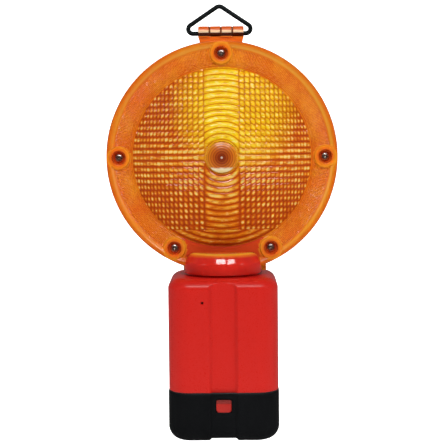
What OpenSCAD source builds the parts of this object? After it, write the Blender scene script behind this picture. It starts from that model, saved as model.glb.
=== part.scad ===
// Barricade warning lamp: a two-sided amber lens head that turns on the neck
// of a battery case, with a hanging loop, a latch and a pull-off battery cover.
// Origin at the centre of the base, on the ground. +Z up, front toward -Y.

/* [Lens head] */
// Outer diameter of the lens flange
lens_d = 185; // [183:0.5:187]
// Height of the lens centre above the ground
lens_z = 223.5; // [222:0.5:225]
// Flange depth, parting plane to front face
rim_h = 10; // [9.5:0.25:11]
// Depth of the recessed reflex ring, parting plane to its face
ring_h = 8; // [7.5:0.25:8.5]
// Outer radius of the domed prism disc
dome_r = 72; // [71:0.5:74]
// Rise of the dome above the reflex ring
dome_rise = 24; // [20:1:26]
// Wall of the moulded lens halves
lens_wall = 2.6; // [2.2:0.1:2.8]
// Radius of the central bull's-eye
eye_r = 12.7; // [11:0.1:14]
// Rise of the bull's-eye above the dome
eye_rise = 2.4; // [1.5:0.1:3]
// Radius of the circle that the five lens screws stand on
screw_circle_r = 82.6; // [82.4:0.1:83.4]
// Angle of the two lower screws from straight down
low_screw_deg = 28; // [27:0.5:30]

/* [Neck and collar] */
// Outer radius of the lens collar
collar_r = 32; // [31.5:0.1:33]
// Radius of the case neck that the head turns on
neck_r = 26.5; // [26:0.1:26.8]
// Radial clearance of the collar lip on the neck
neck_clear = 0.08; // [0.05:0.01:0.1]
// Height of the collar
collar_h = 16.6; // [15:0.2:17]

/* [Hanging loop] */
// Radius of the loop wire
wire_r = 1.8; // [1.5:0.1:1.85]
// Height of the loop's bottom bar above the lens centre
loop_pivot = 98.7; // [98.4:0.1:99.4]
// Height of the apex centreline above the bottom bar
loop_h = 21.4; // [20:0.2:24]
// Half distance between the centres of the two lower bends
loop_half_w = 21.2; // [20.5:0.1:23]
// Radius of the lower bends
bend_r = 3.7; // [3.2:0.1:4]
// Radius of the apex bend
apex_r = 4.4; // [4:0.1:5]
// Width of the four-knuckle hinge barrel
barrel_w = 36.4; // [35:0.1:37]

/* [Battery case] */
// Width of the case
case_w = 87; // [86:0.5:87]
// Depth of the case
case_d = 86; // [85.5:0.5:86]
// Radius of the upright corners
corner_r = 18; // [16:0.5:19]
// Radius of the shoulder
shoulder_r = 10; // [8:0.5:11]
// Case wall
wall = 2.5; // [2.2:0.1:2.6]
// Width of the panel groove, front and back
groove_w = 20.6; // [18:0.2:22]
// Depth of the panel groove
groove_t = 2.2; // [1.5:0.1:2.2]
// Radius of the switch pinhole
pinhole_r = 1; // [0.8:0.1:1.2]

/* [Battery cover] */
// Width of the cover
cover_w = 88; // [88:0.5:89]
// Depth of the cover
cover_d = 87; // [87:0.5:88]
// Height of the cover
cover_h = 39; // [38.8:0.1:39.2]
// Radius of the bottom edge
foot_r = 11; // [8:0.5:12]
// Wall of the cover
cover_wall = 3; // [2.8:0.1:3]
// Width of the base notch at the ground
notch_w = 24; // [18:1:28]
// Travel of the latch
latch_travel = 2.2; // [2:0.05:2.25]

/* [Battery] */
// Side of the square lantern battery
batt_w = 67; // [65:0.5:67]
// Height of the battery body
batt_h = 102; // [96:1:102]

/* [Hidden] */
$fn = 64;
e = 0.01;
amber = "orange";
red = "#d8281c";
black = "#1b1b1d";

lens_r = lens_d / 2;
collar_z = lens_z - 93;          // underside of the collar
lip_z = collar_z + 3.3;          // top of the retaining lip
shelf_z = collar_z + collar_h;   // top of the collar
case_top = collar_z - 1.5;
neck_top = collar_z + 10;
case_z = 39.8;                     // lower edge of the visible case
spigot_z = 14;                   // lower edge of the spigot inside the cover
spig_w = cover_w - 2 * cover_wall - 0.6;
spig_d = cover_d - 2 * cover_wall - 0.6;
spig_t = 2.2;
spig_in = spig_d / 2 - spig_t;   // inner face of the spigot, from the centre
floor_z = 5.2;                   // inside floor of the cover
batt_z = floor_z + 3;
batt_top = batt_z + batt_h;
plate_z = 120.5;                   // underside of the contact plate
barrel_z = lens_z + loop_pivot + 1.8;
pivot_z = lens_z + loop_pivot;
pin_x = -16.2;
pin_z = 110.8;
latch_z0 = 23.9;
latch_h = 10.3;
latch_w = 12.4;
cover_face = cover_d / 2 - 1.5;  // face of the cover inside its groove
latch_front = cover_face + 0.1;

screw_deg = [90, 180, 0, 270 - low_screw_deg, 270 + low_screw_deg];

// ---------- shared shapes ----------

// Section through an upright block of width w with rounded upper corners
module dome_section(w, h, r) {
    translate([-w / 2, 0]) square([w, h - r]);
    translate([-w / 2 + r, 0]) square([w - 2 * r, h]);
    for (s = [-1, 1]) translate([s * (w / 2 - r), h - r]) circle(r);
}

// Upright block with rounded corners rc and a rounded top edge rt
module soft_block(w, d, h, rc, rt) {
    translate([0, (d - 2 * rc) / 2, 0]) rotate([90, 0, 0])
        linear_extrude(d - 2 * rc) dome_section(w, h, rt);
    translate([-(w - 2 * rc) / 2, 0, 0]) rotate([90, 0, 90])
        linear_extrude(w - 2 * rc) dome_section(d, h, rt);
    for (sx = [-1, 1], sy = [-1, 1])
        translate([sx * (w / 2 - rc), sy * (d / 2 - rc), 0]) rotate_extrude()
            intersection() {
                dome_section(2 * rc, h, rt);
                square([rc, h]);
            }
}

// Plan of a rounded rectangle
module plan(w, d, r) {
    square([w - 2 * r, d], center = true);
    square([w, d - 2 * r], center = true);
    for (sx = [-1, 1], sy = [-1, 1]) translate([sx * (w / 2 - r), sy * (d / 2 - r)]) circle(r);
}

module post(w, d, h, r) linear_extrude(h) plan(w, d, r);

// Panel groove cutter, U-shaped at its top, reaching from z0 to z1
module groove_cut(face, depth, z0, z1) {
    for (s = [0, 180]) rotate([0, 0, s])
        translate([0, -face + depth, 0]) rotate([90, 0, 0]) linear_extrude(depth + 5) {
            translate([-groove_w / 2, z0]) square([groove_w, z1 - z0 - 5]);
            translate([-groove_w / 2 + 5, z0]) square([groove_w - 10, z1 - z0]);
            for (sx = [-1, 1]) translate([sx * (groove_w / 2 - 5), z1 - 5]) circle(5);
        }
}

// Coil of wire radius r, turning about Z. Coil radius runs from ra to rb over the height
module coil(ra, rb, h, turns, r, steps = 14, sides = 8) {
    n = turns * steps;
    pts = [for (i = [0 : n], k = [0 : sides - 1])
        let (t = i / n, a = 360 * turns * t, q = 360 * k / sides, cr = ra + (rb - ra) * t)
            [(cr + r * cos(q)) * cos(a), (cr + r * cos(q)) * sin(a), r + (h - 2 * r) * t + r * sin(q)]];
    faces = concat(
        [[for (k = [0 : sides - 1]) k]],
        [for (i = [0 : n - 1], k = [0 : sides - 1])
            [i * sides + k, (i + 1) * sides + k, (i + 1) * sides + (k + 1) % sides, i * sides + (k + 1) % sides]],
        [[for (k = [sides - 1 : -1 : 0]) n * sides + k]]);
    polyhedron(pts, faces, convexity = 10);
}

// Pan-head screw pointing down -Z from the origin plane of its head's underside
module pan_screw(head_r, head_h, shank_r, len) {
    difference() {
        union() {
            translate([0, 0, -len]) cylinder(r = shank_r, h = len + e);
            cylinder(r = head_r, h = head_h * 0.55);
            translate([0, 0, head_h * 0.55]) cylinder(r1 = head_r, r2 = head_r * 0.7, h = head_h * 0.45);
        }
        for (a = [0, 90]) rotate([0, 0, a])
            translate([-head_r * 0.6, -head_r * 0.11, head_h * 0.45]) cube([head_r * 1.2, head_r * 0.22, head_h]);
    }
}

// ---------- lens head ----------

// Lens frame: local X right, local Y up, local Z forward, out of the front face
module front_frame() translate([0, 0, lens_z]) rotate([90, 0, 0]) children();

dome_R = (dome_r * dome_r + dome_rise * dome_rise) / (2 * dome_rise);
dome_c = ring_h + dome_rise - dome_R;
eye_edge = dome_c + sqrt(dome_R * dome_R - eye_r * eye_r);
eye_R = (eye_r * eye_r + eye_rise * eye_rise) / (2 * eye_rise);
in_R = dome_R - lens_wall;
in_edge_r = sqrt(in_R * in_R - pow(ring_h - lens_wall - dome_c, 2));

module lens_outer() rotate_extrude($fn = 120) polygon(concat(
    [[0, 0.1], [lens_r, 0.1], [lens_r, rim_h - 0.9], [lens_r - 0.25, rim_h - 0.3], [lens_r - 0.9, rim_h],
     [lens_r - 2.9, rim_h], [lens_r - 5.9, ring_h]],
    [for (i = [0 : 16]) let (r = dome_r + (eye_r - dome_r) * i / 16) [r, dome_c + sqrt(dome_R * dome_R - r * r)]],
    [for (i = [0 : 6]) let (r = eye_r * (1 - i / 6)) [r, eye_edge + 0.7 + eye_rise - eye_R + sqrt(eye_R * eye_R - r * r)]]));

module lens_cavity() rotate_extrude($fn = 120) polygon(concat(
    [[0, -1], [lens_r - lens_wall, -1], [lens_r - lens_wall, ring_h - lens_wall]],
    [for (i = [0 : 14]) let (r = in_edge_r * (1 - i / 14)) [r, dome_c + sqrt(in_R * in_R - r * r)]]));

// Whole collar about the Z axis, with a softly rounded top edge
module collar_outer() translate([0, 0, collar_z]) rotate_extrude() {
    square([collar_r - 2.5, collar_h]);
    square([collar_r, collar_h - 2.5]);
    translate([collar_r - 2.5, collar_h - 2.5]) circle(2.5);
}

module collar_bores() {
    translate([0, 0, collar_z - 1]) cylinder(r = neck_r + neck_clear, h = 5);
    translate([0, 0, lip_z]) cylinder(r = collar_r - 3, h = shelf_z - 2.5 - lip_z);
}

// One lens half. s = -1 builds the front half, s = 1 the rear half
module lens_half(s) {
    first = s < 0 ? 0 : 1;
    kn_w = (barrel_w - 1.2) / 4;
    web_top = barrel_z - 4.4;
    difference() {
        union() {
            difference() {
                union() {
                    mirror([0, s > 0 ? 1 : 0, 0]) front_frame() lens_outer();
                    intersection() {
                        collar_outer();
                        translate([-50, s < 0 ? -50.1 : 0.1, 0]) cube([100, 50, 400]);
                    }
                }
                mirror([0, s > 0 ? 1 : 0, 0]) front_frame() lens_cavity();
                collar_bores();
            }
            mirror([0, s > 0 ? 1 : 0, 0]) front_frame() for (a = screw_deg) rotate([0, 0, a])
                translate([screw_circle_r, 0, 0]) {
                    translate([0, 0, 0.1]) cylinder(r = 6.6, h = rim_h - 0.1);
                    translate([0, 0, ring_h - lens_wall]) cylinder(r = 9, h = rim_h + lens_wall - ring_h);
                }
            // hinge web and this half's two knuckles
            translate([-barrel_w / 2, s < 0 ? -2.3 : 0.1, lens_z + 89]) cube([barrel_w, 2.2, web_top - lens_z - 89]);
            for (i = [first, first + 2]) translate([-barrel_w / 2 + i * (kn_w + 0.4), 0, 0]) {
                translate([0, 0, barrel_z]) rotate([0, 90, 0]) cylinder(r = 4, h = kn_w);
                translate([0, s < 0 ? -3.1 : 0.1, web_top - 0.6]) cube([kn_w, 3, barrel_z - web_top]);
            }
        }
        // groove for the parting seal
        mirror([0, s > 0 ? 1 : 0, 0]) front_frame() difference() {
            translate([0, 0, -1]) cylinder(r = lens_r - 0.6, h = 1.6, $fn = 120);
            translate([0, 0, -2]) cylinder(r = lens_r - 2.2, h = 4, $fn = 120);
            translate([-collar_r - 1, -lens_r - 1, -2]) cube([2 * collar_r + 2, 30, 4]);
        }
        // screw wells in the front half, blind holes in the rear half
        mirror([0, s > 0 ? 1 : 0, 0]) front_frame() for (a = screw_deg) rotate([0, 0, a])
            translate([screw_circle_r, 0, 0]) {
                if (s < 0) {
                    translate([0, 0, -1]) cylinder(r = 2.2, h = 20);
                    translate([0, 0, 4.6]) cylinder(r = 5.5, h = 10);
                } else translate([0, 0, -1]) cylinder(r = 2, h = 9.4);
            }
        // bore for the loop wire
        translate([-barrel_w, 0, pivot_z]) rotate([0, 90, 0]) cylinder(r = wire_r + 0.08, h = 2 * barrel_w);
    }
}

module front_lens() color(amber) lens_half(-1);
module rear_lens() color(amber) lens_half(1);

module lens_seal() color(black) front_frame() difference() {
    translate([0, 0, -0.5]) cylinder(r = lens_r - 0.7, h = 1, $fn = 120);
    translate([0, 0, -2]) cylinder(r = lens_r - 2.1, h = 4, $fn = 120);
    translate([-collar_r - 1.2, -lens_r - 1, -2]) cube([2 * collar_r + 2.4, 30, 4]);
}

module lens_screws() color("silver") front_frame() for (a = screw_deg) rotate([0, 0, a])
    translate([screw_circle_r, 0, 4.6]) pan_screw(3.3, 2.4, 1.95, 12);

// Post that stands in the collar and carries the board at the lens centre
module board_holder() color("#303236") {
    difference() {
        union() {
            translate([0, 0, neck_top + 1]) cylinder(r = collar_r - 3.3, h = 2.4);
            translate([-6, -4, neck_top + 1]) cube([12, 8, lens_z - 24 - neck_top]);
            translate([-12, 0.8, lens_z - 27]) cube([24, 3.2, 19]);
        }
        translate([0, 0, neck_top]) cylinder(r = 2.2, h = lens_z - 19.8 - neck_top);
        for (s = [-1, 1]) translate([s * 9, 5, lens_z - 12]) rotate([90, 0, 0]) cylinder(r = 1.05, h = 10);
        for (s = [-1, 1]) translate([s * 17, 0, neck_top]) cylinder(r = 5, h = 6);
    }
}

module led_board() color("#e9e7dc") difference() {
    union() {
        translate([0, 0.8, lens_z]) rotate([90, 0, 0]) cylinder(r = 17, h = 1.6);
        translate([-12, -0.8, lens_z - 20]) cube([24, 1.6, 14]);
    }
    for (s = [-1, 1]) translate([s * 9, 5, lens_z - 12]) rotate([90, 0, 0]) cylinder(r = 1.5, h = 10);
}

// Round 5 mm lamp, base on the board
module led_lamp() {
    cylinder(r = 2.9, h = 1);
    cylinder(r = 2.5, h = 6.2);
    translate([0, 0, 6.2]) sphere(r = 2.5);
}

module front_led() color("#f2efe6") translate([0, -0.8, lens_z]) rotate([90, 0, 0]) led_lamp();
module rear_led() color("#f2efe6") translate([0, 0.8, lens_z]) rotate([-90, 0, 0]) led_lamp();

module light_sensor() color("#c8742c") translate([0, -0.8, lens_z + 11]) rotate([90, 0, 0]) {
    cylinder(r = 2.2, h = 1.8);
    translate([0, 0, 1.8]) cylinder(r = 1.7, h = 0.5);
}

module board_components() color("#26262a") {
    translate([-11.5, -2.6, lens_z - 4]) cube([5, 1.8, 6.4]);
    translate([10, -0.8, lens_z + 1]) rotate([90, 0, 0]) cylinder(r = 2.6, h = 5.5);
    for (i = [0 : 2]) translate([-5.5 + i * 4, -1.6, lens_z - 10]) cube([2, 0.8, 3.4]);
}

module board_screws() color("silver") for (s = [-1, 1])
    translate([s * 9, -0.8, lens_z - 12]) rotate([90, 0, 0]) pan_screw(2, 1.3, 1, 4.2);

module lead_cable() color(black) translate([0, 0, collar_z + 10]) cylinder(r = 1.6, h = lens_z - 20 - collar_z - 10);

module lead_plug() color("#3a3a3e") {
    translate([0, 0, plate_z + 5]) cylinder(r = 4, h = collar_z + 4 - plate_z - 5);
    translate([0, 0, collar_z + 2.6]) cylinder(r = 5.6, h = 4.4);
    translate([0, 0, collar_z + 7]) cylinder(r1 = 5, r2 = 2.4, h = 3);
}

// ---------- hanging loop ----------

module arc_bend(cx, cz, R, a0, a1) translate([cx, 0, cz]) rotate([90, 0, 0]) rotate([0, 0, a0])
    rotate_extrude(angle = a1 - a0) translate([R, 0]) circle(wire_r + 0.02);

// Straight wire from p to q, reaching a little into the bend at each end
module bar(p, q) let (d = q - p)
    translate([p[0], 0, p[1]]) rotate([0, atan2(d[0], d[1]), 0]) translate([0, 0, -0.3]) cylinder(r = wire_r, h = norm(d) + 0.6);

module hang_loop() color(black) {
    lo = [loop_half_w, pivot_z + bend_r];
    hi = [0, pivot_z + loop_h - apex_r];
    d = hi - lo;
    tilt = atan2(d[1], d[0]) - acos((bend_r - apex_r) / norm(d));
    n = [cos(tilt), sin(tilt)];
    union() {
        bar([-loop_half_w, pivot_z], [loop_half_w, pivot_z]);
        arc_bend(loop_half_w, lo[1], bend_r, -90, tilt);
        arc_bend(-loop_half_w, lo[1], bend_r, 180 - tilt, 270);
        arc_bend(0, hi[1], apex_r, tilt, 180 - tilt);
        for (s = [-1, 1]) bar([s * (lo[0] + bend_r * n[0]), lo[1] + bend_r * n[1]], [s * (apex_r * n[0]), hi[1] + apex_r * n[1]]);
    }
}

// ---------- battery case ----------

module battery_case() color(red) difference() {
    union() {
        difference() {
            union() {
                translate([0, 0, case_z]) soft_block(case_w, case_d, case_top - case_z, corner_r, shoulder_r);
                translate([0, 0, spigot_z]) post(spig_w, spig_d, case_z - spigot_z + 1, corner_r - 2.8);
            }
            groove_cut(case_d / 2, groove_t, case_z - 1, case_top - 5.5);
        }
        // seat and neck with its retaining flange
        translate([0, 0, case_top - 1]) cylinder(r = neck_r + 3, h = 2.2);
        translate([0, 0, case_top - 1]) cylinder(r = neck_r, h = neck_top - case_top + 1);
        translate([0, 0, neck_top - 4]) cylinder(r = collar_r - 3.4, h = 4);
    }
    // compartment, with thicker walls behind the grooves
    difference() {
        translate([0, 0, case_z + 2.5])
            soft_block(case_w - 2 * wall, case_d - 2 * wall, case_top - 3.5 - case_z - 2.5, corner_r - wall, shoulder_r - 3);
        for (s = [0, 180]) rotate([0, 0, s])
            translate([-groove_w / 2 - 2.5, -case_d / 2, case_z]) cube([groove_w + 5, groove_t + wall, case_top - case_z]);
        // ribs that guide the battery
        for (s = [-1, 1], t = [-1, 1]) {
            translate([s * 23 - 1, t > 0 ? batt_w / 2 + 0.7 : -case_d / 2, case_z + 3]) cube([2, case_d / 2 - batt_w / 2 - 0.7, 62]);
            translate([t > 0 ? batt_w / 2 + 0.7 : -case_w / 2, s * 20 - 1, case_z + 3]) cube([case_w / 2 - batt_w / 2 - 0.7, 2, 62]);
        }
        // pillars for the contact plate
        for (sx = [-1, 1], sy = [-1, 1]) translate([sx * 26, sy * 26, plate_z + 2]) cylinder(r = 3.4, h = 20);
        // pocket walls for the switch
        for (sx = [-1, 1]) translate([pin_x + sx * 4.1 - 0.8, -case_d / 2, pin_z - 4]) cube([1.6, 7, 8]);
    }
    translate([0, 0, spigot_z - 1]) post(spig_w - 2 * spig_t, spig_d - 2 * spig_t, case_z - spigot_z + 4.5, corner_r - 5);
    // neck bore and lead hole
    translate([0, 0, case_top]) cylinder(r = neck_r - 3.5, h = 30);
    translate([0, 0, case_top - 6]) cylinder(r = 8.5, h = 10);
    // pilot holes for the contact screws
    for (sx = [-1, 1], sy = [-1, 1]) translate([sx * 26, sy * 26, plate_z]) cylinder(r = 1.25, h = 6.5);
    // pinhole
    translate([pin_x, -case_d, pin_z]) rotate([-90, 0, 0]) cylinder(r = pinhole_r, h = case_d / 2 + 5, $fn = 32);
    // latch aperture
    translate([-latch_w / 2 - 0.2, -case_d / 2, latch_z0 - 0.2]) cube([latch_w + 0.4, 12, latch_h + 0.4]);
}

module swivel_seal() color(black) translate([0, 0, lip_z + 1.5]) rotate_extrude() translate([neck_r + 1.12, 0]) circle(1.1);

module contact_plate() color("#7a4a22") translate([0, 0, plate_z]) difference() {
    post(62, 62, 2, 6);
    for (sx = [-1, 1], sy = [-1, 1]) translate([sx * 26, sy * 26, -1]) cylinder(r = 1.6, h = 5);
}

module centre_contact() color("#c8a24a") translate([0, 0, plate_z - 0.6]) {
    cylinder(r = 8, h = 0.6);
    translate([-2.5, 0, 0]) cube([5, 16, 0.6]);
}

module outer_contact() color("#c8a24a") translate([18, -18, plate_z - 0.6]) {
    cylinder(r = 6.5, h = 0.6);
    translate([-16, -2.5, 0]) cube([14, 5, 0.6]);
}

module contact_screws() color("silver") for (sx = [-1, 1], sy = [-1, 1])
    translate([sx * 26, sy * 26, plate_z]) rotate([180, 0, 0]) pan_screw(2.6, 1.6, 1.2, 6);

module lead_socket() color("#2a2a2e") translate([0, 0, plate_z + 2]) difference() {
    cylinder(r = 7, h = collar_z + 2.2 - plate_z - 2);
    translate([0, 0, 2.5]) cylinder(r = 4.08, h = 20);
}

module switch_body() color("#222226") translate([pin_x, -case_d / 2, pin_z]) difference() {
    translate([-3.3, 4.9, -3.6]) cube([6.6, 4, 7.2]);
    translate([0, 2, 0]) rotate([-90, 0, 0]) cylinder(r = 1.6, h = 5.4);
}

module switch_button() color("#e8e4d8") translate([pin_x, -case_d / 2 + wall + 0.15, pin_z]) rotate([-90, 0, 0])
    cylinder(r = 1.54, h = 3.4);

module switch_leads() color("#b02020") for (s = [-1, 1])
    translate([pin_x + s * 1.6, -case_d / 2 + 7, pin_z + 3.6]) {
        cylinder(r = 0.6, h = plate_z + 2.65 - pin_z - 3.6);
        translate([0, 0, plate_z + 2.65 - pin_z - 3.6]) {
            sphere(r = 0.6);
            rotate([-90, 0, 0]) cylinder(r = 0.6, h = 6.5);
        }
    }

// ---------- latch ----------

module latch_button() color(red) difference() {
    union() {
        translate([0, -spig_in, latch_z0 + latch_h / 2]) rotate([90, 0, 0]) linear_extrude(latch_front - spig_in) {
            translate([-latch_w / 2, -latch_h / 2 + 1.5]) square([latch_w, latch_h - 1.5]);
            translate([-latch_w / 2 + 1.5, -latch_h / 2]) square([latch_w - 3, latch_h]);
            for (s = [-1, 1]) translate([s * (latch_w / 2 - 1.5), -latch_h / 2 + 1.5]) circle(1.5);
        }
        translate([-latch_w / 2 - 1.2, -spig_in + 0.05, latch_z0 - 1.2]) cube([latch_w + 2.4, 1, latch_h + 2.4]);
        translate([-latch_w / 2, -spig_in - 0.2, latch_z0 + 1.5]) cube([latch_w, 0.6, latch_h - 1.5]);
    }
    // spring pocket
    translate([0, -spig_in - 3, latch_z0 + latch_h / 2]) rotate([-90, 0, 0]) cylinder(r = 3.3, h = 8);
}

module latch_spring() color("silver") translate([0, -spig_in - 2.95, latch_z0 + latch_h / 2]) rotate([-90, 0, 0])
    coil(2.75, 2.75, 6.4, 5, 0.3, 12, 6);

module latch_retainer() color("#b9bcc0") translate([0, -spig_in, latch_z0 + latch_h / 2]) difference() {
    translate([-10.5, 0, -7.2]) cube([21, latch_travel + 2, 14.4]);
    translate([-8.6, -1, -8]) cube([17.2, latch_travel + 2.3, 16]);
}

// ---------- battery cover ----------

module battery_cover() color(black) difference() {
    translate([0, 0, cover_h]) mirror([0, 0, 1]) soft_block(cover_w, cover_d, cover_h, corner_r + 0.5, foot_r);
    translate([0, 0, cover_h + 1]) mirror([0, 0, 1])
        soft_block(cover_w - 2 * cover_wall, cover_d - 2 * cover_wall, cover_h + 1 - floor_z, corner_r - 2.5, foot_r - cover_wall);
    groove_cut(cover_d / 2, 1.5, 10, 60);
    // recess under the base, leaving a rim to stand on
    translate([0, 0, -1]) post(cover_w - 2 * foot_r - 8, cover_d - 2 * foot_r - 8, 3.2, 6);
    // notch through the rim, front and back
    translate([0, cover_d / 2 + 1, 0]) rotate([90, 0, 0]) linear_extrude(cover_d + 2)
        polygon([[-notch_w / 2, -1], [notch_w / 2, -1], [notch_w / 2, 0], [notch_w / 2 - 2.7, 2.2],
            [-notch_w / 2 + 2.7, 2.2], [-notch_w / 2, 0]]);
    // latch window
    translate([-latch_w / 2 - 0.6, -cover_d, latch_z0 - 0.6]) cube([latch_w + 1.2, cover_d / 2 + 8, latch_h + 1.2]);
}

module cover_seal() color("#101012") translate([0, 0, cover_h]) linear_extrude(case_z - cover_h - 0.05) difference() {
    plan(cover_w - 1.6, cover_d - 1.6, corner_r - 0.3);
    plan(spig_w + 0.6, spig_d + 0.6, corner_r - 2.5);
}

module foam_pad() color("#4a4a4e") translate([0, 0, floor_z]) post(60, 60, 3, 5);

module battery_jacket() color("#2f5f8f") translate([0, 0, batt_z]) post(batt_w, batt_w, batt_h - 3, 8);

module battery_top() color("#d8d8d4") translate([0, 0, batt_top - 3]) difference() {
    post(batt_w, batt_w, 3, 8);
    translate([0, 0, 2]) post(batt_w - 4, batt_w - 4, 3, 6);
}

module battery_springs() color("silver") {
    translate([0, 0, batt_top - 1]) coil(7, 3, plate_z - 0.9 - batt_top + 1, 4, 0.6);
    translate([18, -18, batt_top - 1]) coil(5.6, 2.6, plate_z - 0.9 - batt_top + 1, 4, 0.6);
}

front_lens();
rear_lens();
lens_seal();
lens_screws();
board_holder();
led_board();
front_led();
rear_led();
light_sensor();
board_components();
board_screws();
lead_cable();
lead_plug();
hang_loop();
battery_case();
swivel_seal();
contact_plate();
centre_contact();
outer_contact();
contact_screws();
lead_socket();
switch_body();
switch_button();
switch_leads();
latch_button();
latch_spring();
latch_retainer();
battery_cover();
cover_seal();
foam_pad();
battery_jacket();
battery_top();
battery_springs();
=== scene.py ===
import math

import bmesh
import bpy
import numpy as np
from mathutils import Matrix, Vector
from mathutils.geometry import delaunay_2d_cdt


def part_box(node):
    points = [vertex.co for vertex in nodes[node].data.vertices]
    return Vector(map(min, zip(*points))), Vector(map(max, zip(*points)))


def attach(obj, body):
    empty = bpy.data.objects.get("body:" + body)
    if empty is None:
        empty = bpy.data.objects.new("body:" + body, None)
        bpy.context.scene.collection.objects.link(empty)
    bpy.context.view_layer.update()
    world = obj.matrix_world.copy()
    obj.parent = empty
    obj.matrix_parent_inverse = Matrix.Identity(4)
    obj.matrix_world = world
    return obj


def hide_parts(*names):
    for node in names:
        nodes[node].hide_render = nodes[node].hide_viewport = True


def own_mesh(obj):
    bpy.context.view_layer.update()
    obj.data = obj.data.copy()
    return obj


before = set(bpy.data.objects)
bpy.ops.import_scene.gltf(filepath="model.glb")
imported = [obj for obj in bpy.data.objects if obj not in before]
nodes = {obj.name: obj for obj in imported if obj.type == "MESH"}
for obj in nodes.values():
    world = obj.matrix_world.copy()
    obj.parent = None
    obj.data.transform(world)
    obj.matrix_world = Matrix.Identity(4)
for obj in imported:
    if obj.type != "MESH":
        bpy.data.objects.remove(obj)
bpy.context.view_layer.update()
MM = 0.001

# ---------------------------------------------------------------- dimensions, in mm, read from the frame


def span(node):
    lo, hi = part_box(node)
    return np.array(lo) * 1000, np.array(hi) * 1000


f_lo, f_hi = span("front_lens")
led_lo, led_hi = span("front_led")
LENS_Z = (led_lo[2] + led_hi[2]) / 2
LENS_R = 92.5
RIM_H, RING_H = 10.0, 8.0
DOME_R, DOME_RISE, WALL = 72.0, 24.0, 2.6
EYE_R, EYE_RISE = 11.9, 2.3
SCREW_R = 82.6
SCREW_DEG = [90, 180, 0, 242, 298]
DR = (DOME_R ** 2 + DOME_RISE ** 2) / (2 * DOME_RISE)
DC = RING_H + DOME_RISE - DR
EYE_EDGE = DC + math.sqrt(DR * DR - EYE_R * EYE_R)
EYE_RAD = (EYE_R ** 2 + EYE_RISE ** 2) / (2 * EYE_RISE)
COLLAR_Z = LENS_Z - 93
COLLAR_R, NECK_R = 32.0, 26.5
CASE_TOP = COLLAR_Z - 1.5
CASE_Z = 39.8
PIVOT_Z = LENS_Z + 98.7
BARREL_Z = PIVOT_Z + 1.8

# ---------------------------------------------------------------- camera

cam_data = bpy.data.cameras.new("camera")
cam_data.lens = 94.92
cam_data.sensor_width = 36.0
cam_data.clip_start = 0.05
cam_data.clip_end = 30
cam = bpy.data.objects.new("camera", cam_data)
bpy.context.scene.collection.objects.link(cam)
yaw, pitch, roll = math.radians(-0.42), math.radians(-4.14), math.radians(-0.52)
fwd = Vector((math.sin(yaw) * math.cos(pitch), math.cos(yaw) * math.cos(pitch), math.sin(pitch)))
right = Vector((math.cos(yaw), -math.sin(yaw), 0))
up = right.cross(fwd)
r2 = right * math.cos(roll) + up * math.sin(roll)
u2 = up * math.cos(roll) - right * math.sin(roll)
m = Matrix.Identity(4)
for i in range(3):
    m[i][0], m[i][1], m[i][2] = r2[i], u2[i], -fwd[i]
m[0][3], m[1][3], m[2][3] = 7.27 * MM, -950 * MM, 239.25 * MM
cam.matrix_world = m
bpy.context.scene.camera = cam

# ---------------------------------------------------------------- mesh helpers (all in mm)


def obj_from(name, verts, faces, weld=1e-5):
    me = bpy.data.meshes.new(name)
    me.from_pydata((np.asarray(verts, float) * MM).tolist(), [], [list(map(int, f)) for f in faces])
    if weld:
        bm = bmesh.new()
        bm.from_mesh(me)
        bmesh.ops.remove_doubles(bm, verts=bm.verts, dist=weld * MM * 100)
        bmesh.ops.recalc_face_normals(bm, faces=bm.faces)
        bm.to_mesh(me)
        bm.free()
    o = bpy.data.objects.new(name, me)
    bpy.context.scene.collection.objects.link(o)
    return o


def loft(name, rings, cap0=True, cap1=True, loop=False):
    """Rings of the same number of points, joined in order. A cap closes an end with a fan."""
    n = len(rings[0])
    verts = np.concatenate(rings)
    faces = []
    k = len(rings)
    for i in range(k if loop else k - 1):
        a, b = i * n, ((i + 1) % k) * n
        for j in range(n):
            jj = (j + 1) % n
            faces.append((a + j, a + jj, b + jj, b + j))
    extra = []
    if not loop:
        for cap, a in ((cap0, 0), (cap1, (k - 1) * n)):
            if cap:
                c = len(verts) + len(extra)
                extra.append(verts[a:a + n].mean(0))
                for j in range(n):
                    faces.append((a + j, a + (j + 1) % n, c))
    if extra:
        verts = np.concatenate([verts, np.array(extra)])
    return obj_from(name, verts, faces)


def revolve(name, prof, n=96, to=None):
    """Closed solid of revolution about Z of a profile of (r, z) from axis to axis, or a closed ring profile."""
    a = np.arange(n) * 2 * np.pi / n
    on_axis = prof[0][0] < 1e-6 and prof[-1][0] < 1e-6
    p = prof[1:-1] if on_axis else prof
    rings = [np.stack([r * np.cos(a), r * np.sin(a), np.full(n, z)], -1) for r, z in p]
    if to is not None:
        rings = [to(x) for x in rings]
    if not on_axis:
        return loft(name, rings, loop=True)
    k = len(rings)
    verts = np.concatenate(rings)
    faces = []
    for i in range(k - 1):
        for j in range(n):
            jj = (j + 1) % n
            faces.append((i * n + j, i * n + jj, (i + 1) * n + jj, (i + 1) * n + j))
    ends = np.array([[0, 0, prof[0][1]], [0, 0, prof[-1][1]]], float)
    if to is not None:
        ends = to(ends)
    verts = np.concatenate([verts, ends])
    c0, c1 = k * n, k * n + 1
    for j in range(n):
        faces.append((j, (j + 1) % n, c0))
        faces.append(((k - 1) * n + j, (k - 1) * n + (j + 1) % n, c1))
    return obj_from(name, verts, faces)


def box(name, lo, hi):
    x0, y0, z0 = lo
    x1, y1, z1 = hi
    v = [(x0, y0, z0), (x1, y0, z0), (x1, y1, z0), (x0, y1, z0), (x0, y0, z1), (x1, y0, z1), (x1, y1, z1), (x0, y1, z1)]
    f = [(3, 2, 1, 0), (4, 5, 6, 7), (0, 1, 5, 4), (1, 2, 6, 5), (2, 3, 7, 6), (3, 0, 4, 7)]
    return obj_from(name, v, f, weld=0)


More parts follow.
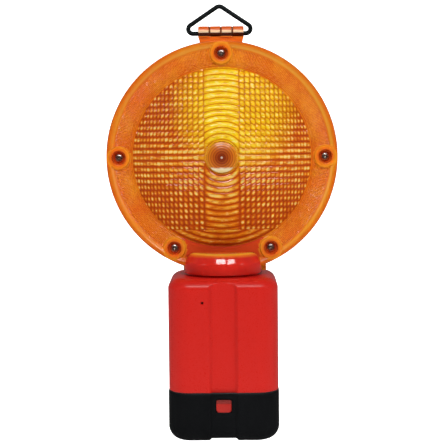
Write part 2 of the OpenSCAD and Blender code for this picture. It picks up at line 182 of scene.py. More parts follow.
def rod(name, p, q, r, n=48):
    """Plain cylinder used as a cutter or a filler."""
    p, q = np.array(p, float), np.array(q, float)
    d = (q - p) / np.linalg.norm(q - p)
    h = np.array([0, 0, 1.0]) if abs(d[2]) < .9 else np.array([1.0, 0, 0])
    u = np.cross(d, h); u /= np.linalg.norm(u)
    w = np.cross(d, u)
    a = np.arange(n) * 2 * np.pi / n
    ring = r * (np.cos(a)[:, None] * u + np.sin(a)[:, None] * w)
    return loft(name, [p + ring, q + ring])


def drop(*objs):
    for o in objs:
        me = o.data
        bpy.data.objects.remove(o)
        if me.users == 0:
            bpy.data.meshes.remove(me)


def csg(a, b, op="DIFFERENCE", keep=False):
    md = a.modifiers.new("csg", "BOOLEAN")
    md.object = b
    md.operation = op
    md.solver = "MANIFOLD"
    dg = bpy.context.evaluated_depsgraph_get()
    me = bpy.data.meshes.new_from_object(a.evaluated_get(dg))
    a.modifiers.clear()
    old = a.data
    if len(me.polygons) == 0:
        raise RuntimeError(f"csg: {a.name} {op} {b.name} came out empty")
    a.data = me
    bpy.data.meshes.remove(old)
    if not keep:
        drop(b)
    return a


def smooth(o, angle=32):
    me = o.data
    me.polygons.foreach_set("use_smooth", np.ones(len(me.polygons), bool))
    me.set_sharp_from_angle(angle=math.radians(angle))
    me.update()
    return o


def co(o):
    a = np.empty(len(o.data.vertices) * 3, np.float32)
    o.data.vertices.foreach_get("co", a)
    return a.reshape(-1, 3) * 1000.0


def attr(o, name, values):
    at = o.data.attributes.new(name, "FLOAT", "POINT")
    at.data.foreach_set("value", np.asarray(values, np.float32))


def arc_pts(c, r, a0, a1, n):
    """n + 1 points of an arc in a profile, angles in degrees."""
    t = np.radians(np.linspace(a0, a1, n + 1))
    return [(c[0] + r * math.cos(x), c[1] + r * math.sin(x)) for x in t]


def rrect(w, d, r, n_corner=14, xs=None):
    """Outline of a rounded rectangle, anticlockwise from the front's left corner. xs are extra x values for front and back."""
    r = min(r, w / 2 - 1e-3, d / 2 - 1e-3)
    pts = []
    ux = np.array(xs if xs is not None else np.linspace(-1, 1, 9)[1:-1] * (w / 2 - r))
    uy = np.linspace(-1, 1, 13)[1:-1] * (d / 2 - r)

    def corner(cx, cy, a0):
        for t in np.linspace(0, 90, n_corner + 1):
            a = math.radians(a0 + t)
            pts.append((cx + r * math.cos(a), cy + r * math.sin(a)))
    corner(-w / 2 + r, -d / 2 + r, 180)
    pts.extend((x, -d / 2) for x in ux)
    corner(w / 2 - r, -d / 2 + r, 270)
    pts.extend((w / 2, y) for y in uy)
    corner(w / 2 - r, d / 2 - r, 0)
    pts.extend((x, d / 2) for x in ux[::-1])
    corner(-w / 2 + r, d / 2 - r, 90)
    pts.extend((-w / 2, y) for y in uy[::-1])
    return np.array(pts)


def lens_to_world(s):
    """Lens-local (x right, y up, h forward) to the row frame. s = -1 for the front half, 1 for the rear."""
    def f(p):
        p = np.asarray(p, float)
        return np.stack([p[:, 0], s * p[:, 2], p[:, 1] + LENS_Z], -1)
    return f


# ---------------------------------------------------------------- lens surface

PITCH = 4.7
BAND = 14.0
XB = np.array([14, 18.3, 22.6, 26.7, 30.7, 34.6, 38.3, 41.9, 45.3, 48.5, 51.5, 54.4, 57.2, 59.9, 62.6, 65.2, 67.7, 70.2, 72.8])
LOW_Y = -57.5
RELIEF = 0.85


def dome(r):
    return DC + np.sqrt(np.maximum(DR * DR - r * r, 0))


def slope(xc, y):
    return -1.15 * xc * y / (xc * xc + y * y + 60.0)


def frac(v):
    return v - np.floor(v)


def pillow(x, y):
    """Relief of the prism tiles, 0 in the valleys and 1 on the crowns."""
    r = np.hypot(x, y)
    ax = np.abs(x)
    arcs = (ax < BAND) | (y < LOW_Y)
    w = 2 * frac(r / PITCH) - 1
    side = np.where(y < LOW_Y, 1.0, 1 - np.clip(ax / BAND, 0, 1) ** 10)
    pa = (1 - w * w) * side
    ci = np.clip(np.searchsorted(XB, ax, side="right"), 1, len(XB) - 1)
    lo, hi = XB[ci - 1], XB[ci]
    xc = (lo + hi) / 2
    u = np.clip((ax - xc) / ((hi - lo) / 2), -1, 1)
    v = y - slope(xc, y) * (ax - xc)
    w = 2 * frac(v / PITCH + 0.5) - 1
    flat = np.exp(-(y / 22.0) ** 2)
    pt = (1 - (1 - 0.8 * flat) * np.abs(u) ** (2.2 + 5.0 * flat)) * (1 - w * w)
    return np.where(arcs, pa, pt)


def scatter(a, b):
    """A fixed even spread of numbers from 0 to 1, one for each whole-number pair."""
    return frac(np.sin(a * 12.9898 + b * 78.233) * 43758.5453)


def crown_highlight(x, y):
    """Painted highlight of each point of a tile, for how much of the light it gathers: thin bright crowns, broken
    columns, long lines at mid height, dimmer below the middle.
    """
    ax = np.abs(x)
    r = np.hypot(x, y)
    arcs = (ax < BAND) | (y < LOW_Y)
    w = 2 * frac(r / PITCH) - 1
    side = np.where(y < LOW_Y, 1.0, 1 - np.clip(ax / BAND, 0, 1) ** 14)
    ka = np.floor(r / PITCH)
    q = (x + ka * 2.3) / 5.2 + 40 * (y < 0)
    fq = frac(q)
    fq = fq * fq * (3 - 2 * fq)
    ja = scatter(ka, np.floor(q)) * (1 - fq) + scatter(ka, np.floor(q) + 1) * fq
    pa = (1 - np.abs(w) ** 2.4) * side * (0.78 + 0.30 * ja) * np.where(y < 0, np.interp(y, [-72, -50, -20], [0.74, 0.80, 0.97]), 1.0)
    ci = np.clip(np.searchsorted(XB, ax, side="right"), 1, len(XB) - 1)
    lo, hi = XB[ci - 1], XB[ci]
    xc = (lo + hi) / 2
    u = np.clip((ax - xc) / ((hi - lo) / 2), -1, 1)
    v = y - slope(xc, y) * (ax - xc)
    w = 2 * frac(v / PITCH + 0.5) - 1
    flat = np.exp(-(y / 20.0) ** 2)
    jt = scatter(ci * np.sign(x), np.floor(v / PITCH + 0.5))
    pt = (1 - (1 - 0.72 * flat) * np.abs(u) ** (1.7 + 2 * flat)) * (1 - np.abs(w) ** 1.7) * (0.76 + 0.42 * jt)
    return np.clip(np.where(arcs, pa, pt), 0, 1)


def front_height(x, y):
    r = np.hypot(x, y)
    h = dome(r) - RELIEF * (1 - pillow(x, y))
    eye = EYE_EDGE + 0.7 + EYE_RISE - EYE_RAD + np.sqrt(np.maximum(EYE_RAD ** 2 - r * r, 0))
    eye = eye - 0.09 * np.clip(1 - np.abs(frac(r / 1.9) - 0.5) / 0.28, 0, 1) * (r > 1.5)
    h = np.where(r <= EYE_R + 1e-3, eye, h)
    h = np.where((r > EYE_R + 1e-3) & (r < 12.75), dome(r) - 0.9, h)
    h = np.where(r > 71.6, RING_H - 0.1, h)
    h = np.where(r > 86.65, np.minimum(RIM_H, RING_H + (r - 86.6) * 2 / 3.0), h)
    for a in SCREW_DEG:
        cx, cy = SCREW_R * math.cos(math.radians(a)), SCREW_R * math.sin(math.radians(a))
        d = np.hypot(x - cx, y - cy)
        pad = np.where(d <= 8.45, RIM_H, np.where(d <= 9.25, RIM_H - (d - 8.4) * 2.4, -9))
        h = np.where(d <= 9.25, np.maximum(h, pad), h)
    return h


def face_points():
    """Plan points of the moulded face, with the height of each."""
    P, H = [], []

    def add(x, y, h=None):
        x, y = np.ravel(x), np.ravel(y)
        P.append(np.stack([x, y], -1))
        H.append(np.full(len(x), np.nan) if h is None else np.broadcast_to(np.ravel(h), x.shape).astype(float))

    def circle(r, n, h=None, off=0.0):
        a = (np.arange(n) + off) * 2 * np.pi / n
        add(r * np.cos(a), r * np.sin(a), h)

    # bull's-eye and the step around it
    add([0.0], [0.0])
    for i in range(1, 31):
        circle(i * EYE_R / 30, max(12, int(2 * np.pi * i * EYE_R / 30 / 0.75)))
    circle(EYE_R, 128)
    circle(EYE_R + 0.15, 128, dome(EYE_R) - 0.9)
    circle(12.5, 128, dome(12.5) - 0.9)
    # arcs of the central band
    for sgn in (1, -1):
        for k in range(22, 123):
            r = k * PITCH / 8
            if r < 12.9 or r > 71.3:
                continue
            x = np.linspace(-BAND + 0.35, BAND - 0.35, 38)
            y = sgn * np.sqrt(np.maximum(r * r - x * x, 0))
            ok = (r > np.abs(x)) & (np.hypot(x, y) > 12.8)
            ok &= (y > LOW_Y + 0.3)
            add(x[ok], y[ok])
    # low arcs
    for k in range(96, 123):
        r = k * PITCH / 8
        if r > 71.3:
            continue
        x = np.arange(-44.1, 44.2, 0.7)
        x = x[np.abs(x) < r]
        y = -np.sqrt(r * r - x * x)
        ok = y < LOW_Y - 0.3
        add(x[ok], y[ok])
    x = np.arange(-43.2, 43.3, 0.6)
    add(x, np.full(len(x), LOW_Y), dome(np.hypot(x, LOW_Y)) - RELIEF)
    # tiles
    for sgn in (1, -1):
        for c in range(1, len(XB)):
            lo, hi = XB[c - 1], XB[c]
            xc = (lo + hi) / 2
            nu = 6 if hi - lo > 3.6 else 4
            v = np.arange(-130, 131) * PITCH / 8 + PITCH / 2
            yb = np.arange(-74, 74, 0.62)
            rb = np.hypot(lo, yb)
            ok = (rb > 12.95) & (rb < 71.3) & (yb > LOW_Y + 0.3)
            add(np.full(ok.sum(), sgn * (lo + 1e-4)), yb[ok])
            for j in range(1, nu):
                xx = lo + (hi - lo) * j / nu
                y = v + slope(xc, v) * (xx - xc)
                rr = np.hypot(xx, y)
                ok = (rr > 12.95) & (rr < 71.3) & (y > LOW_Y + 0.3)
                add(np.full(ok.sum(), sgn * xx), y[ok])
    # edge of the prism disc and the reflex ring
    circle(71.6, 640, dome(71.6) - RELIEF)
    circle(72.1, 640, RING_H - 0.5)
    rows, nth = 12, 420
    r0, r1 = 72.7, 86.5
    for i in range(rows + 1):
        r = r0 + (r1 - r0) * i / rows
        a = np.arange(nth) * 2 * np.pi / nth
        deg = np.degrees(a)
        ok = ~((deg > 243.0) & (deg < 297.0))
        low = RING_H - (0.12 if i == rows else 0.38 + 0.22 * scatter(i + 0 * a[ok], np.arange(nth)[ok]))
        dr = 0.0 if i in (0, rows) else 0.34 * (scatter(np.arange(nth)[ok], i + 7) - 0.5)
        add((r + dr) * np.cos(a[ok]), (r + dr) * np.sin(a[ok]), low)
        if i < rows:
            rc = r + (r1 - r0) / rows / 2
            a = (np.arange(nth) + 0.5) * 2 * np.pi / nth
            deg = np.degrees(a)
            ok = ~((deg > 243.0) & (deg < 297.0))
            add(rc * np.cos(a[ok]), rc * np.sin(a[ok]), RING_H - 0.02 - 0.14 * scatter(np.arange(nth)[ok] + 3, i + 0 * a[ok]))
    for i in range(8):
        r = 72.9 + i * 1.93
        a = np.radians(np.arange(243.6, 296.7, 1.2))
        add(r * np.cos(a), r * np.sin(a), RING_H - (0.12 if i in (0, 7) else 0.02))
    circle(86.6, 480, RING_H, 0.25)
    circle(87.6, 480, RING_H + 0.72, 0.75)
    circle(88.6, 480, RING_H + 1.38, 0.25)
    circle(89.4, 480, RIM_H - 0.12, 0.75)
    circle(89.9, 480, RIM_H - 0.02, 0.25)
    circle(90.9, 480, RIM_H, 0.75)
    pts, hh = np.concatenate(P), np.concatenate(H)
    # screw pads take the place of what is under them
    keep = np.ones(len(pts), bool)
    for a in SCREW_DEG:
        c = SCREW_R * np.array([math.cos(math.radians(a)), math.sin(math.radians(a))])
        d = np.hypot(pts[:, 0] - c[0], pts[:, 1] - c[1])
        keep &= ~((d < 9.55) & (np.hypot(pts[:, 0], pts[:, 1]) < 90.5))
    pts, hh = pts[keep], hh[keep]
    for a in SCREW_DEG:
        c = SCREW_R * np.array([math.cos(math.radians(a)), math.sin(math.radians(a))])
        for d, n in ((9.3, 72), (8.95, 72), (8.65, 72), (8.3, 72), (7.6, 48), (6.4, 40), (4.2, 24), (2.0, 10)):
            t = (np.arange(n) + (0.5 if n == 72 and d in (8.95, 8.3) else 0)) * 2 * np.pi / n
            q = c + d * np.stack([np.cos(t), np.sin(t)], -1)
            rr = np.hypot(q[:, 0], q[:, 1])
            ok = rr < 90.4
            if d > 9:
                ok &= rr < 86.4
            q, rr = q[ok], rr[ok]
            under = np.where(rr > 86.6, np.minimum(RIM_H, RING_H + (rr - 86.6) * 2 / 3.0), RING_H - 0.1)
            top = {9.3: 0, 8.95: RIM_H - 1.15, 8.65: RIM_H - 0.35, 8.3: RIM_H}.get(d, RIM_H)
            pts = np.concatenate([pts, q])
            hh = np.concatenate([hh, np.maximum(under, top)])
    nan = np.isnan(hh)
    hh[nan] = front_height(pts[nan, 0], pts[nan, 1])
    # drop near duplicates
    key = np.round(pts / 0.16).astype(np.int64)
    _, first = np.unique(key[:, 0] * 100003 + key[:, 1], return_index=True)
    first.sort()
    return pts[first], hh[first]


_face = None


def lens_solid(name, s):
    """Patterned outer solid of one lens half, closed by the parting plane at h = 0.1."""
    global _face
    if _face is None:
        pts, hh = face_points()
        n = 480
        a = (np.arange(n) + 0.25) * 2 * np.pi / n
        edge = np.stack([91.6 * np.cos(a), 91.6 * np.sin(a)], -1)
        pts = np.concatenate([pts, edge])
        hh = np.concatenate([hh, np.full(n, RIM_H)])
        v2, _, tris, ov, _, _ = delaunay_2d_cdt([Vector(p) for p in pts], [], [], 0, 1e-4)
        src = [o[0] for o in ov]
        v2 = np.array([tuple(v) for v in v2])
        _face = (v2, hh[src], [tuple(t) for t in tris], a)
    v2, hh, tris, a = _face
    verts = [np.column_stack([v2, hh])]
    faces = list(tris)
    n = len(a)
    count = len(v2)
    rings = [(91.6, RIM_H), (92.05, 9.9), (92.35, 9.62), (92.5, 9.1), (92.5, 5.0), (92.5, 0.35), (92.3, 0.1)]
    for r, h in rings:
        verts.append(np.column_stack([r * np.cos(a), r * np.sin(a), np.full(n, h)]))
    for i in range(len(rings) - 1):
        b0, b1 = count + i * n, count + (i + 1) * n
        for j in range(n):
            jj = (j + 1) % n
            faces.append((b0 + j, b0 + jj, b1 + jj, b1 + j))
    last = count + (len(rings) - 1) * n
    verts.append(np.array([[0, 0, 0.1]]))
    c = count + len(rings) * n
    for j in range(n):
        faces.append((last + j, last + (j + 1) % n, c))
    verts = lens_to_world(s)(np.concatenate(verts))
    return obj_from(name, verts, faces)


def cavity_solid(s):
    """Space inside the head half, with the stepped rings of the inner face."""
    in_r = DR - WALL
    edge = math.sqrt(in_r ** 2 - (RING_H - WALL - DC) ** 2)

    def din(r):
        return DC + math.sqrt(in_r ** 2 - r * r)
    prof = [(0, -2.0), (LENS_R - WALL, -2.0), (LENS_R - WALL, RING_H - WALL - 0.6), (LENS_R - WALL - 0.6, RING_H - WALL), (edge + 1.2, RING_H - WALL), (edge, din(edge) + 0.05)]
    r = edge - 0.6
    step = 3.1
    while r - step > 14:
        prof += [(r, din(r) + 0.75), (r - step * 0.5, din(r - step * 0.5) + 0.42), (r - step + 0.18, din(r - step + 0.18))]
        r -= step
    for k in range(9):
        q = r * (1 - k / 8)
        prof.append((max(q, 0), din(q)))
    return revolve("cavity", prof, 240, lens_to_world(s))


def build_lens(name, s):
    lw = lens_to_world(s)
    o = lens_solid(name, s)
    # collar half
    zc = COLLAR_Z
    prof = [(0, zc), (31.4, zc), (31.8, zc + 0.15), (COLLAR_R, zc + 0.6), (COLLAR_R, zc + 8.2), (COLLAR_R - 0.12, zc + 8.8), (COLLAR_R - 0.36, zc + 9.4), (COLLAR_R - 1.98, zc + 13.05)]
    prof += [(x, z) for x, z in arc_pts((COLLAR_R - 7.443, zc + 10.618), 5.98, 24, 90, 12)][1:] + [(0, zc + 16.6)]
    collar = revolve("collar", prof, 160)
    y0, y1 = (-50, -0.1) if s < 0 else (0.1, 50)
    csg(collar, box("half", (-50, y0, 100), (50, y1, 200)), "INTERSECT")
    csg(o, collar, "UNION")
    yl0, yl1 = (-3.4, -0.1) if s < 0 else (0.1, 3.4)
    csg(o, box("lug", (30.6, yl0, zc + 1.4), (34.9, yl1, zc + 7.0)), "UNION")
    csg(o, cavity_solid(s))
    bore = revolve("bore", [(0, zc - 1), (26.58 + 1.0, zc - 1), (26.58, zc + 0.4), (26.58, zc + 3.3), (29, zc + 3.3), (29, zc + 10.3), (27.6, zc + 12.2), (27.0, zc + 14.1), (0, zc + 14.1)], 128)
    csg(o, bore)
    # screw bosses
    for a in SCREW_DEG:
        cx, cy = SCREW_R * math.cos(math.radians(a)), SCREW_R * math.sin(math.radians(a))
        p, q = lw(np.array([[cx, cy, 0.1], [cx, cy, RING_H - 0.2]]))
        csg(o, rod("boss", p, q, 6.6, 56), "UNION")
        if s < 0:
            t = np.arange(56) * 2 * np.pi / 56
            rings = []
            for rr, hh in ((2.2, -1.0), (2.2, 4.6), (5.35, 4.6), (5.5, 4.8), (5.5, RIM_H - 0.5), (5.75, RIM_H - 0.12), (6.3, RIM_H + 0.08), (6.4, RIM_H + 1)):
                rings.append(lw(np.column_stack([cx + rr * np.cos(t), cy + rr * np.sin(t), np.full(56, hh)])))
            csg(o, loft("well", rings))
        else:
            p, q = lw(np.array([[cx, cy, -1.0], [cx, cy, 8.4]]))
            csg(o, rod("well", p, q, 2.0, 32))
    # hinge web
    bw = 36.4
    web_top = BARREL_Z - 4.4
    ya, yb = (-2.3, -0.1) if s < 0 else (0.1, 2.3)
    yo = ya if s < 0 else yb
    yi = yb if s < 0 else ya
    rings = []
    for z, half in ((LENS_Z + 89, 17.0), (LENS_Z + 91.5, 17.0), (LENS_Z + 93.0, 17.35), (web_top - 1, 18.0), (web_top, 18.2)):
        e = 0.45
        rings.append(np.array([(-half, yi, z), (-half, yo + (e if s < 0 else -e), z), (-half + e, yo, z), (half - e, yo, z), (half, yo + (e if s < 0 else -e), z), (half, yi, z)]))
    csg(o, loft("web", rings), "UNION")
    # knuckles
    kw = (bw - 0.06) / 4
    for i in ((0, 2) if s < 0 else (1, 3)):
        x0 = -bw / 2 + i * (kw + 0.02)

        def turn(p, x0=x0):
            p = np.asarray(p, float)
            return np.column_stack([x0 + p[:, 2], p[:, 0], BARREL_Z + p[:, 1]])
        pr = [(0, 0), (3.1, 0)] + arc_pts((3.1, 0.9), 0.9, -90, 0, 6)[1:] + arc_pts((3.1, kw - 0.9), 0.9, 0, 90, 6) + [(0, kw)]
        csg(o, revolve("knuckle", pr, 64, turn), "UNION")
        k0, k1 = (-3.1, -0.1) if s < 0 else (0.1, 3.1)
        csg(o, box("foot", (x0, k0, web_top - 0.6), (x0 + kw, k1, BARREL_Z)), "UNION")
    # seal groove
    gr = revolve("groove", [(LENS_R - 2.2, -1.0), (LENS_R - 2.2, 0.6), (LENS_R - 0.6, 0.6), (LENS_R - 0.6, -1.0)], 240, lw)
    csg(gr, box("gap", (-COLLAR_R - 1, -5, LENS_Z - LENS_R - 1), (COLLAR_R + 1, 5, LENS_Z - LENS_R + 29)))
    csg(o, gr)
    csg(o, rod("pin", (-bw, 0, PIVOT_Z), (bw, 0, PIVOT_Z), 1.88, 40))
    # attributes that the amber material reads
    v = co(o)
    x, y, h = v[:, 0], v[:, 2] - LENS_Z, s * v[:, 1]
    r = np.hypot(x, y)
    top = front_height(x, y)
    outer = h > top - 0.35
    # painted highlight on the crowns of the tiles and ring prisms, painted shade in their valleys
    relief_lit = np.where((r > 12.7) & (r < 71.6), crown_highlight(x, y), 0.5)
    relief_lit = np.where((r > 72.3) & (r < 86.5), np.clip((h - (RING_H - 0.52)) / 0.5, 0, 1), relief_lit)
    relief_lit = np.where(outer | (r > 71), relief_lit, 0.45)
    zone = np.where((r > 12.3) & (r < 71.6), 1.0, 0.0)
    rings_ = np.clip(1 - np.abs(frac(r / 1.9) - 0.5) / 0.3, 0, 1)
    # painted shade in the grooves of the bull's-eye
    relief_lit = np.where(outer & (r < 11.6) & (r > 1.5), 1 - rings_, relief_lit)
    # tone_and_highlight: 1 is a painted highlight on the bevel and pads (also the eye's step and the collar's top
    # round), the lug is orange, -1 the deep red of wells and thick parts
    tone_and_highlight = np.zeros(len(v))
    deg = np.degrees(np.arctan2(y, x)) % 360
    flange = (h > 4.0) & (h < 10.6) & (r < 93)
    lit = 0.55 + 0.45 * np.cos(np.radians(deg - 35))
    # painted highlight along the bevel, brighter towards the upper right
    tone_and_highlight = np.where(flange & (r > 86.3) & (r < 90.2), np.interp(r, [86.5, 87.2, 87.7, 88.6, 89.4, 90.2], [0.0, 0.55, 1.0, 0.75, 0.3, 0.1]) * (0.35 + 0.65 * lit), tone_and_highlight)
    tone_and_highlight = np.where(flange & (r > 85.0) & (r < 86.5), -0.22, tone_and_highlight)
    tone_and_highlight = np.where(flange & (r > 90.6), -0.2, tone_and_highlight)
    tone_and_highlight = np.where(flange & (r > 92.0), -0.5, tone_and_highlight)
    tone_and_highlight = np.where((r > 92.2) & (h < 9.0), -0.85, tone_and_highlight)
    low = flange & (deg > 243) & (deg < 297) & (r > 71.8) & (r < 86.3)
    tone_and_highlight = np.where(low, -0.75, tone_and_highlight)
    tone_and_highlight = np.where(flange & (r > 86.3) & (deg > 240) & (deg < 300), -0.2, tone_and_highlight)
    warm = np.zeros(len(v))
    near_any = np.zeros(len(v), bool)
    for a in SCREW_DEG:
        cx, cy = SCREW_R * math.cos(math.radians(a)), SCREW_R * math.sin(math.radians(a))
        d = np.hypot(x - cx, y - cy)
        near = flange & (d < 9.6)
        near_any |= near
        # painted highlight on the sloped edge of each pad
        tone_and_highlight = np.where(near & (d > 8.0), 0.28, tone_and_highlight)
        tone_and_highlight = np.where(near & (d <= 8.0), 0.0, tone_and_highlight)
        tone_and_highlight = np.where((d < 6.2) & (h > 2.0), 0.0, tone_and_highlight)
        warm = np.where((d < 6.6) & (h > 2.0), np.interp(d, [0, 5.4, 6.6], [0.6, 0.5, 0.2]) if s < 0 else np.interp(d, [0, 2.4, 4.4], [0.55, 0.30, 0.0]), warm)
        relief_lit = np.where(near, 0.7, relief_lit)
    eye = np.where(outer & (r < 12.9), 1.0, 0.0)
    # painted highlight round the step of the eye
    tone_and_highlight = np.where(outer & (r > 11.95) & (r < 12.6), 0.95, tone_and_highlight)
    attr(o, "eye", eye)
    # the red neck shows through the collar; its top round carries a painted orange highlight, and the lug stays orange
    rc = np.hypot(v[:, 0], v[:, 1])
    on_collar = (v[:, 2] < COLLAR_Z + 17.2) & (rc < 32.3) & (r > 74) & ((np.abs(v[:, 1]) > 10.4) | ((rc > 29.4) & (r > 92.6)))
    zc_ = v[:, 2] - COLLAR_Z
    tone_and_highlight = np.where(on_collar, np.interp(zc_, [0, 14.0, 15.2, 16.2, 16.6], [0, 0, 0.35, 0.9, 0.8]), tone_and_highlight)
    warm = np.where(on_collar, np.interp(zc_, [0, 13.4, 15.2, 16.2], [1, 1, 0.6, 0.0]), warm)
    warm = np.where(low & ~near_any, 0.55, warm)
    lug = (v[:, 0] > 30.5) & (v[:, 0] < 35.5) & (v[:, 2] < COLLAR_Z + 7.1) & (np.abs(v[:, 1]) < 3.5)
    tone_and_highlight = np.where(lug & (rc > 31.9), 0.7, tone_and_highlight)
    warm = np.where(lug & (rc > 31.9), 0.0, warm)
    attr(o, "warm", warm)
    attr(o, "painted_relief_light", relief_lit)
    attr(o, "prism", zone)
    attr(o, "tone_and_highlight", tone_and_highlight)
    smooth(o, 24)
    return o


front_lens = build_lens("front_lens_shell", -1)
rear_lens = build_lens("rear_lens_shell", 1)

# ---------------------------------------------------------------- battery case

GW, G_T = 10.3, 2.2
GX = np.array([-22, -17, -13, -11.8, -11.3, -10.8, -10.3, -9.8, -9.3, -8.8, -8.2, -6, -3, 0, 3, 6, 8.2, 8.8, 9.3, 9.8, 10.3, 10.8, 11.3, 11.8, 13, 17, 22])


def sstep(a, b, x):
    t = np.clip((x - a) / (b - a), 0, 1)
    return t * t * (3 - 2 * t)


def groove_depth(x, z, z_top=127.5, depth=G_T):
    """Depth of the shallow panel groove at x, z, with soft edges and rounded upper corners."""
    ax = np.abs(x)
    zt = z_top - 5
    inside = np.where(z < zt, GW - ax, 5 - np.hypot(np.maximum(ax - (GW - 5), 0), np.maximum(z - zt, 0)))
    return depth * sstep(-1.5, 1.9, inside)


def case_ring(z, inset=0.0, w=87.0, d=86.0, r=18.0, groove=True, xs=GX):
    p = rrect(w - 2 * inset, d - 2 * inset, max(r - inset, 1.0), 16, xs)
    q = np.column_stack([p, np.full(len(p), z)])
    if groove:
        flat = np.abs(np.abs(q[:, 1]) - (d / 2 - inset)) < 0.02
        g = np.where(flat, groove_depth(q[:, 0], z), 0)
        # measured from the case's face, so it fades out into the shoulder
        g = np.maximum(g - inset, 0) if inset > 0 else g
        q[:, 1] -= np.sign(q[:, 1]) * g
    return q


def circle_like(ring, radius, z, centre=(0, 0)):
    """A circle with the same number of points as a ring, each at its own bearing."""
    a = np.arctan2(ring[:, 1], ring[:, 0])
    return np.column_stack([radius * np.cos(a), radius * np.sin(a), np.full(len(ring), z)])


def build_case():
    rings = []
    for z, ins in ((14.0, 0.9), (14.35, 0.35), (14.9, 0.0), (24, 0), (34, 0), (CASE_Z, 0)):
        rings.append(case_ring(z, ins, 81.4, 80.4, 15.2, False))
    for z, ins in ((CASE_Z + 0.0, 0.75), (CASE_Z + 0.08, 0.4), (CASE_Z + 0.35, 0.1), (CASE_Z + 0.8, 0)):
        rings.append(case_ring(z, ins))
    zs = list(np.linspace(CASE_Z + 3, 112, 12)) + [114, 115.5, 116.5, 117.5, 118.5, 119.3, 120.0, 120.6]
    for z in zs:
        rings.append(case_ring(z))
    top = CASE_TOP
    for t in np.linspace(4, 90, 20):
        a = math.radians(t)
        rings.append(case_ring(top - 8.2 + 8.2 * math.sin(a), 10 * (1 - math.cos(a))))
    flat = rings[-1]
    for k in (0.3, 0.6, 0.85):
        c = circle_like(flat, 30.6, top)
        rings.append(flat * (1 - k) + c * k)
    base = rings[-1]
    for r, z in ((30.3, top), (29.9, top + 0.12), (29.6, top + 0.45), (29.5, top + 0.8), (29.35, top + 1.1), (29.1, top + 1.2), (27.2, top + 1.2), (26.7, top + 1.3), (NECK_R, top + 1.7),
                 (NECK_R, COLLAR_Z + 5.6), (26.7, COLLAR_Z + 6.0), (28.3, COLLAR_Z + 6.0), (28.6, COLLAR_Z + 6.3), (28.6, COLLAR_Z + 9.0), (28.0, COLLAR_Z + 9.8), (27.3, COLLAR_Z + 10), (24, COLLAR_Z + 10)):
        rings.append(circle_like(base, r, z))
    o = loft("battery_case_shell", rings)
    # compartment
    ribs = box("rib", (-9, -60, 30), (9, 60, 200))
    comp = [case_ring(z, i, 82, 81, 15.5, False) for z, i in ((CASE_Z + 2.5, 0.01), (80, 0.01), (118.5, 0.01))]
    for t in np.linspace(10, 90, 8):
        a = math.radians(t)
        comp.append(case_ring(118.5 + 7 * math.sin(a), 7 * (1 - math.cos(a)), 82, 81, 15.5, False))
    comp = loft("comp", comp)
    for sgn in (1, -1):
        y0, y1 = sorted((sgn * 50, sgn * 38.3))
        csg(comp, box("thick", (-12.8, y0, 30), (12.8, y1, 140)))
    for sx in (1, -1):
        for sy in (1, -1):
            csg(comp, box("rib", tuple(np.minimum((sx * 23 - 1, sy * 34.2, 42), (sx * 23 + 1, sy * 50, 42))), tuple(np.maximum((sx * 23 - 1, sy * 34.2, 104), (sx * 23 + 1, sy * 50, 104)))))
            csg(comp, box("rib", tuple(np.minimum((sx * 34.2, sy * 20 - 1, 42), (sx * 50, sy * 20 + 1, 42))), tuple(np.maximum((sx * 34.2, sy * 20 - 1, 104), (sx * 50, sy * 20 + 1, 104)))))
            csg(comp, rod("pillar", (sx * 26, sy * 26, 122.5), (sx * 26, sy * 26, 140), 3.4))
    for sx in (1, -1):
        csg(comp, box("pocket", (-16.2 + sx * 4.1 - 0.8, -50, 106.8), (-16.2 + sx * 4.1 + 0.8, -36, 114.8)))
    csg(o, comp)
    drop(ribs)
    csg(o, loft("open", [case_ring(z, i, 77, 76, 13, False) for z, i in ((13, -0.6), (14.3, 0.0), (30, 0), (CASE_Z + 3.3, 0))]))
    csg(o, revolve("bore", [(0, top - 0.3), (23, top - 0.3), (23, COLLAR_Z + 9.4), (23.7, COLLAR_Z + 11), (0, COLLAR_Z + 11)], 96))
    csg(o, rod("lead", (0, 0, top - 7), (0, 0, top + 2), 8.5))
    for sx in (1, -1):
        for sy in (1, -1):
            csg(o, rod("pilot", (sx * 26, sy * 26, 120), (sx * 26, sy * 26, 127), 1.25, 24))
    # pinhole with a softened mouth
    t = np.arange(32) * 2 * np.pi / 32
    rings = [np.column_stack([-16.2 + r * np.cos(t), np.full(32, y), 110.8 + r * np.sin(t)]) for r, y in ((1.25, -43.6), (1.12, -43.0), (1.02, -42.8), (1.0, -42.4), (1.0, -39.0))]
    csg(o, loft("pinhole", rings))
    csg(o, box("aperture", (-6.4, -44, 23.7), (6.4, -31, 34.4)))
    return smooth(o, 30)


battery_case = build_case()

# ---------------------------------------------------------------- battery cover


def cover_ring(z, inset=0.0, groove=0.0):
    p = rrect(88 - 2 * inset, 87 - 2 * inset, max(18.5 - inset, 1.0), 16, GX)
    q = np.column_stack([p, np.full(len(p), z)])
    if groove > 0:
        flat = np.abs(np.abs(q[:, 1]) - (43.5 - inset)) < 0.02
        g = np.where(flat, groove * sstep(-1.1, 1.5, GW - np.abs(q[:, 0])), 0)
        q[:, 1] -= np.sign(q[:, 1]) * g
    return q


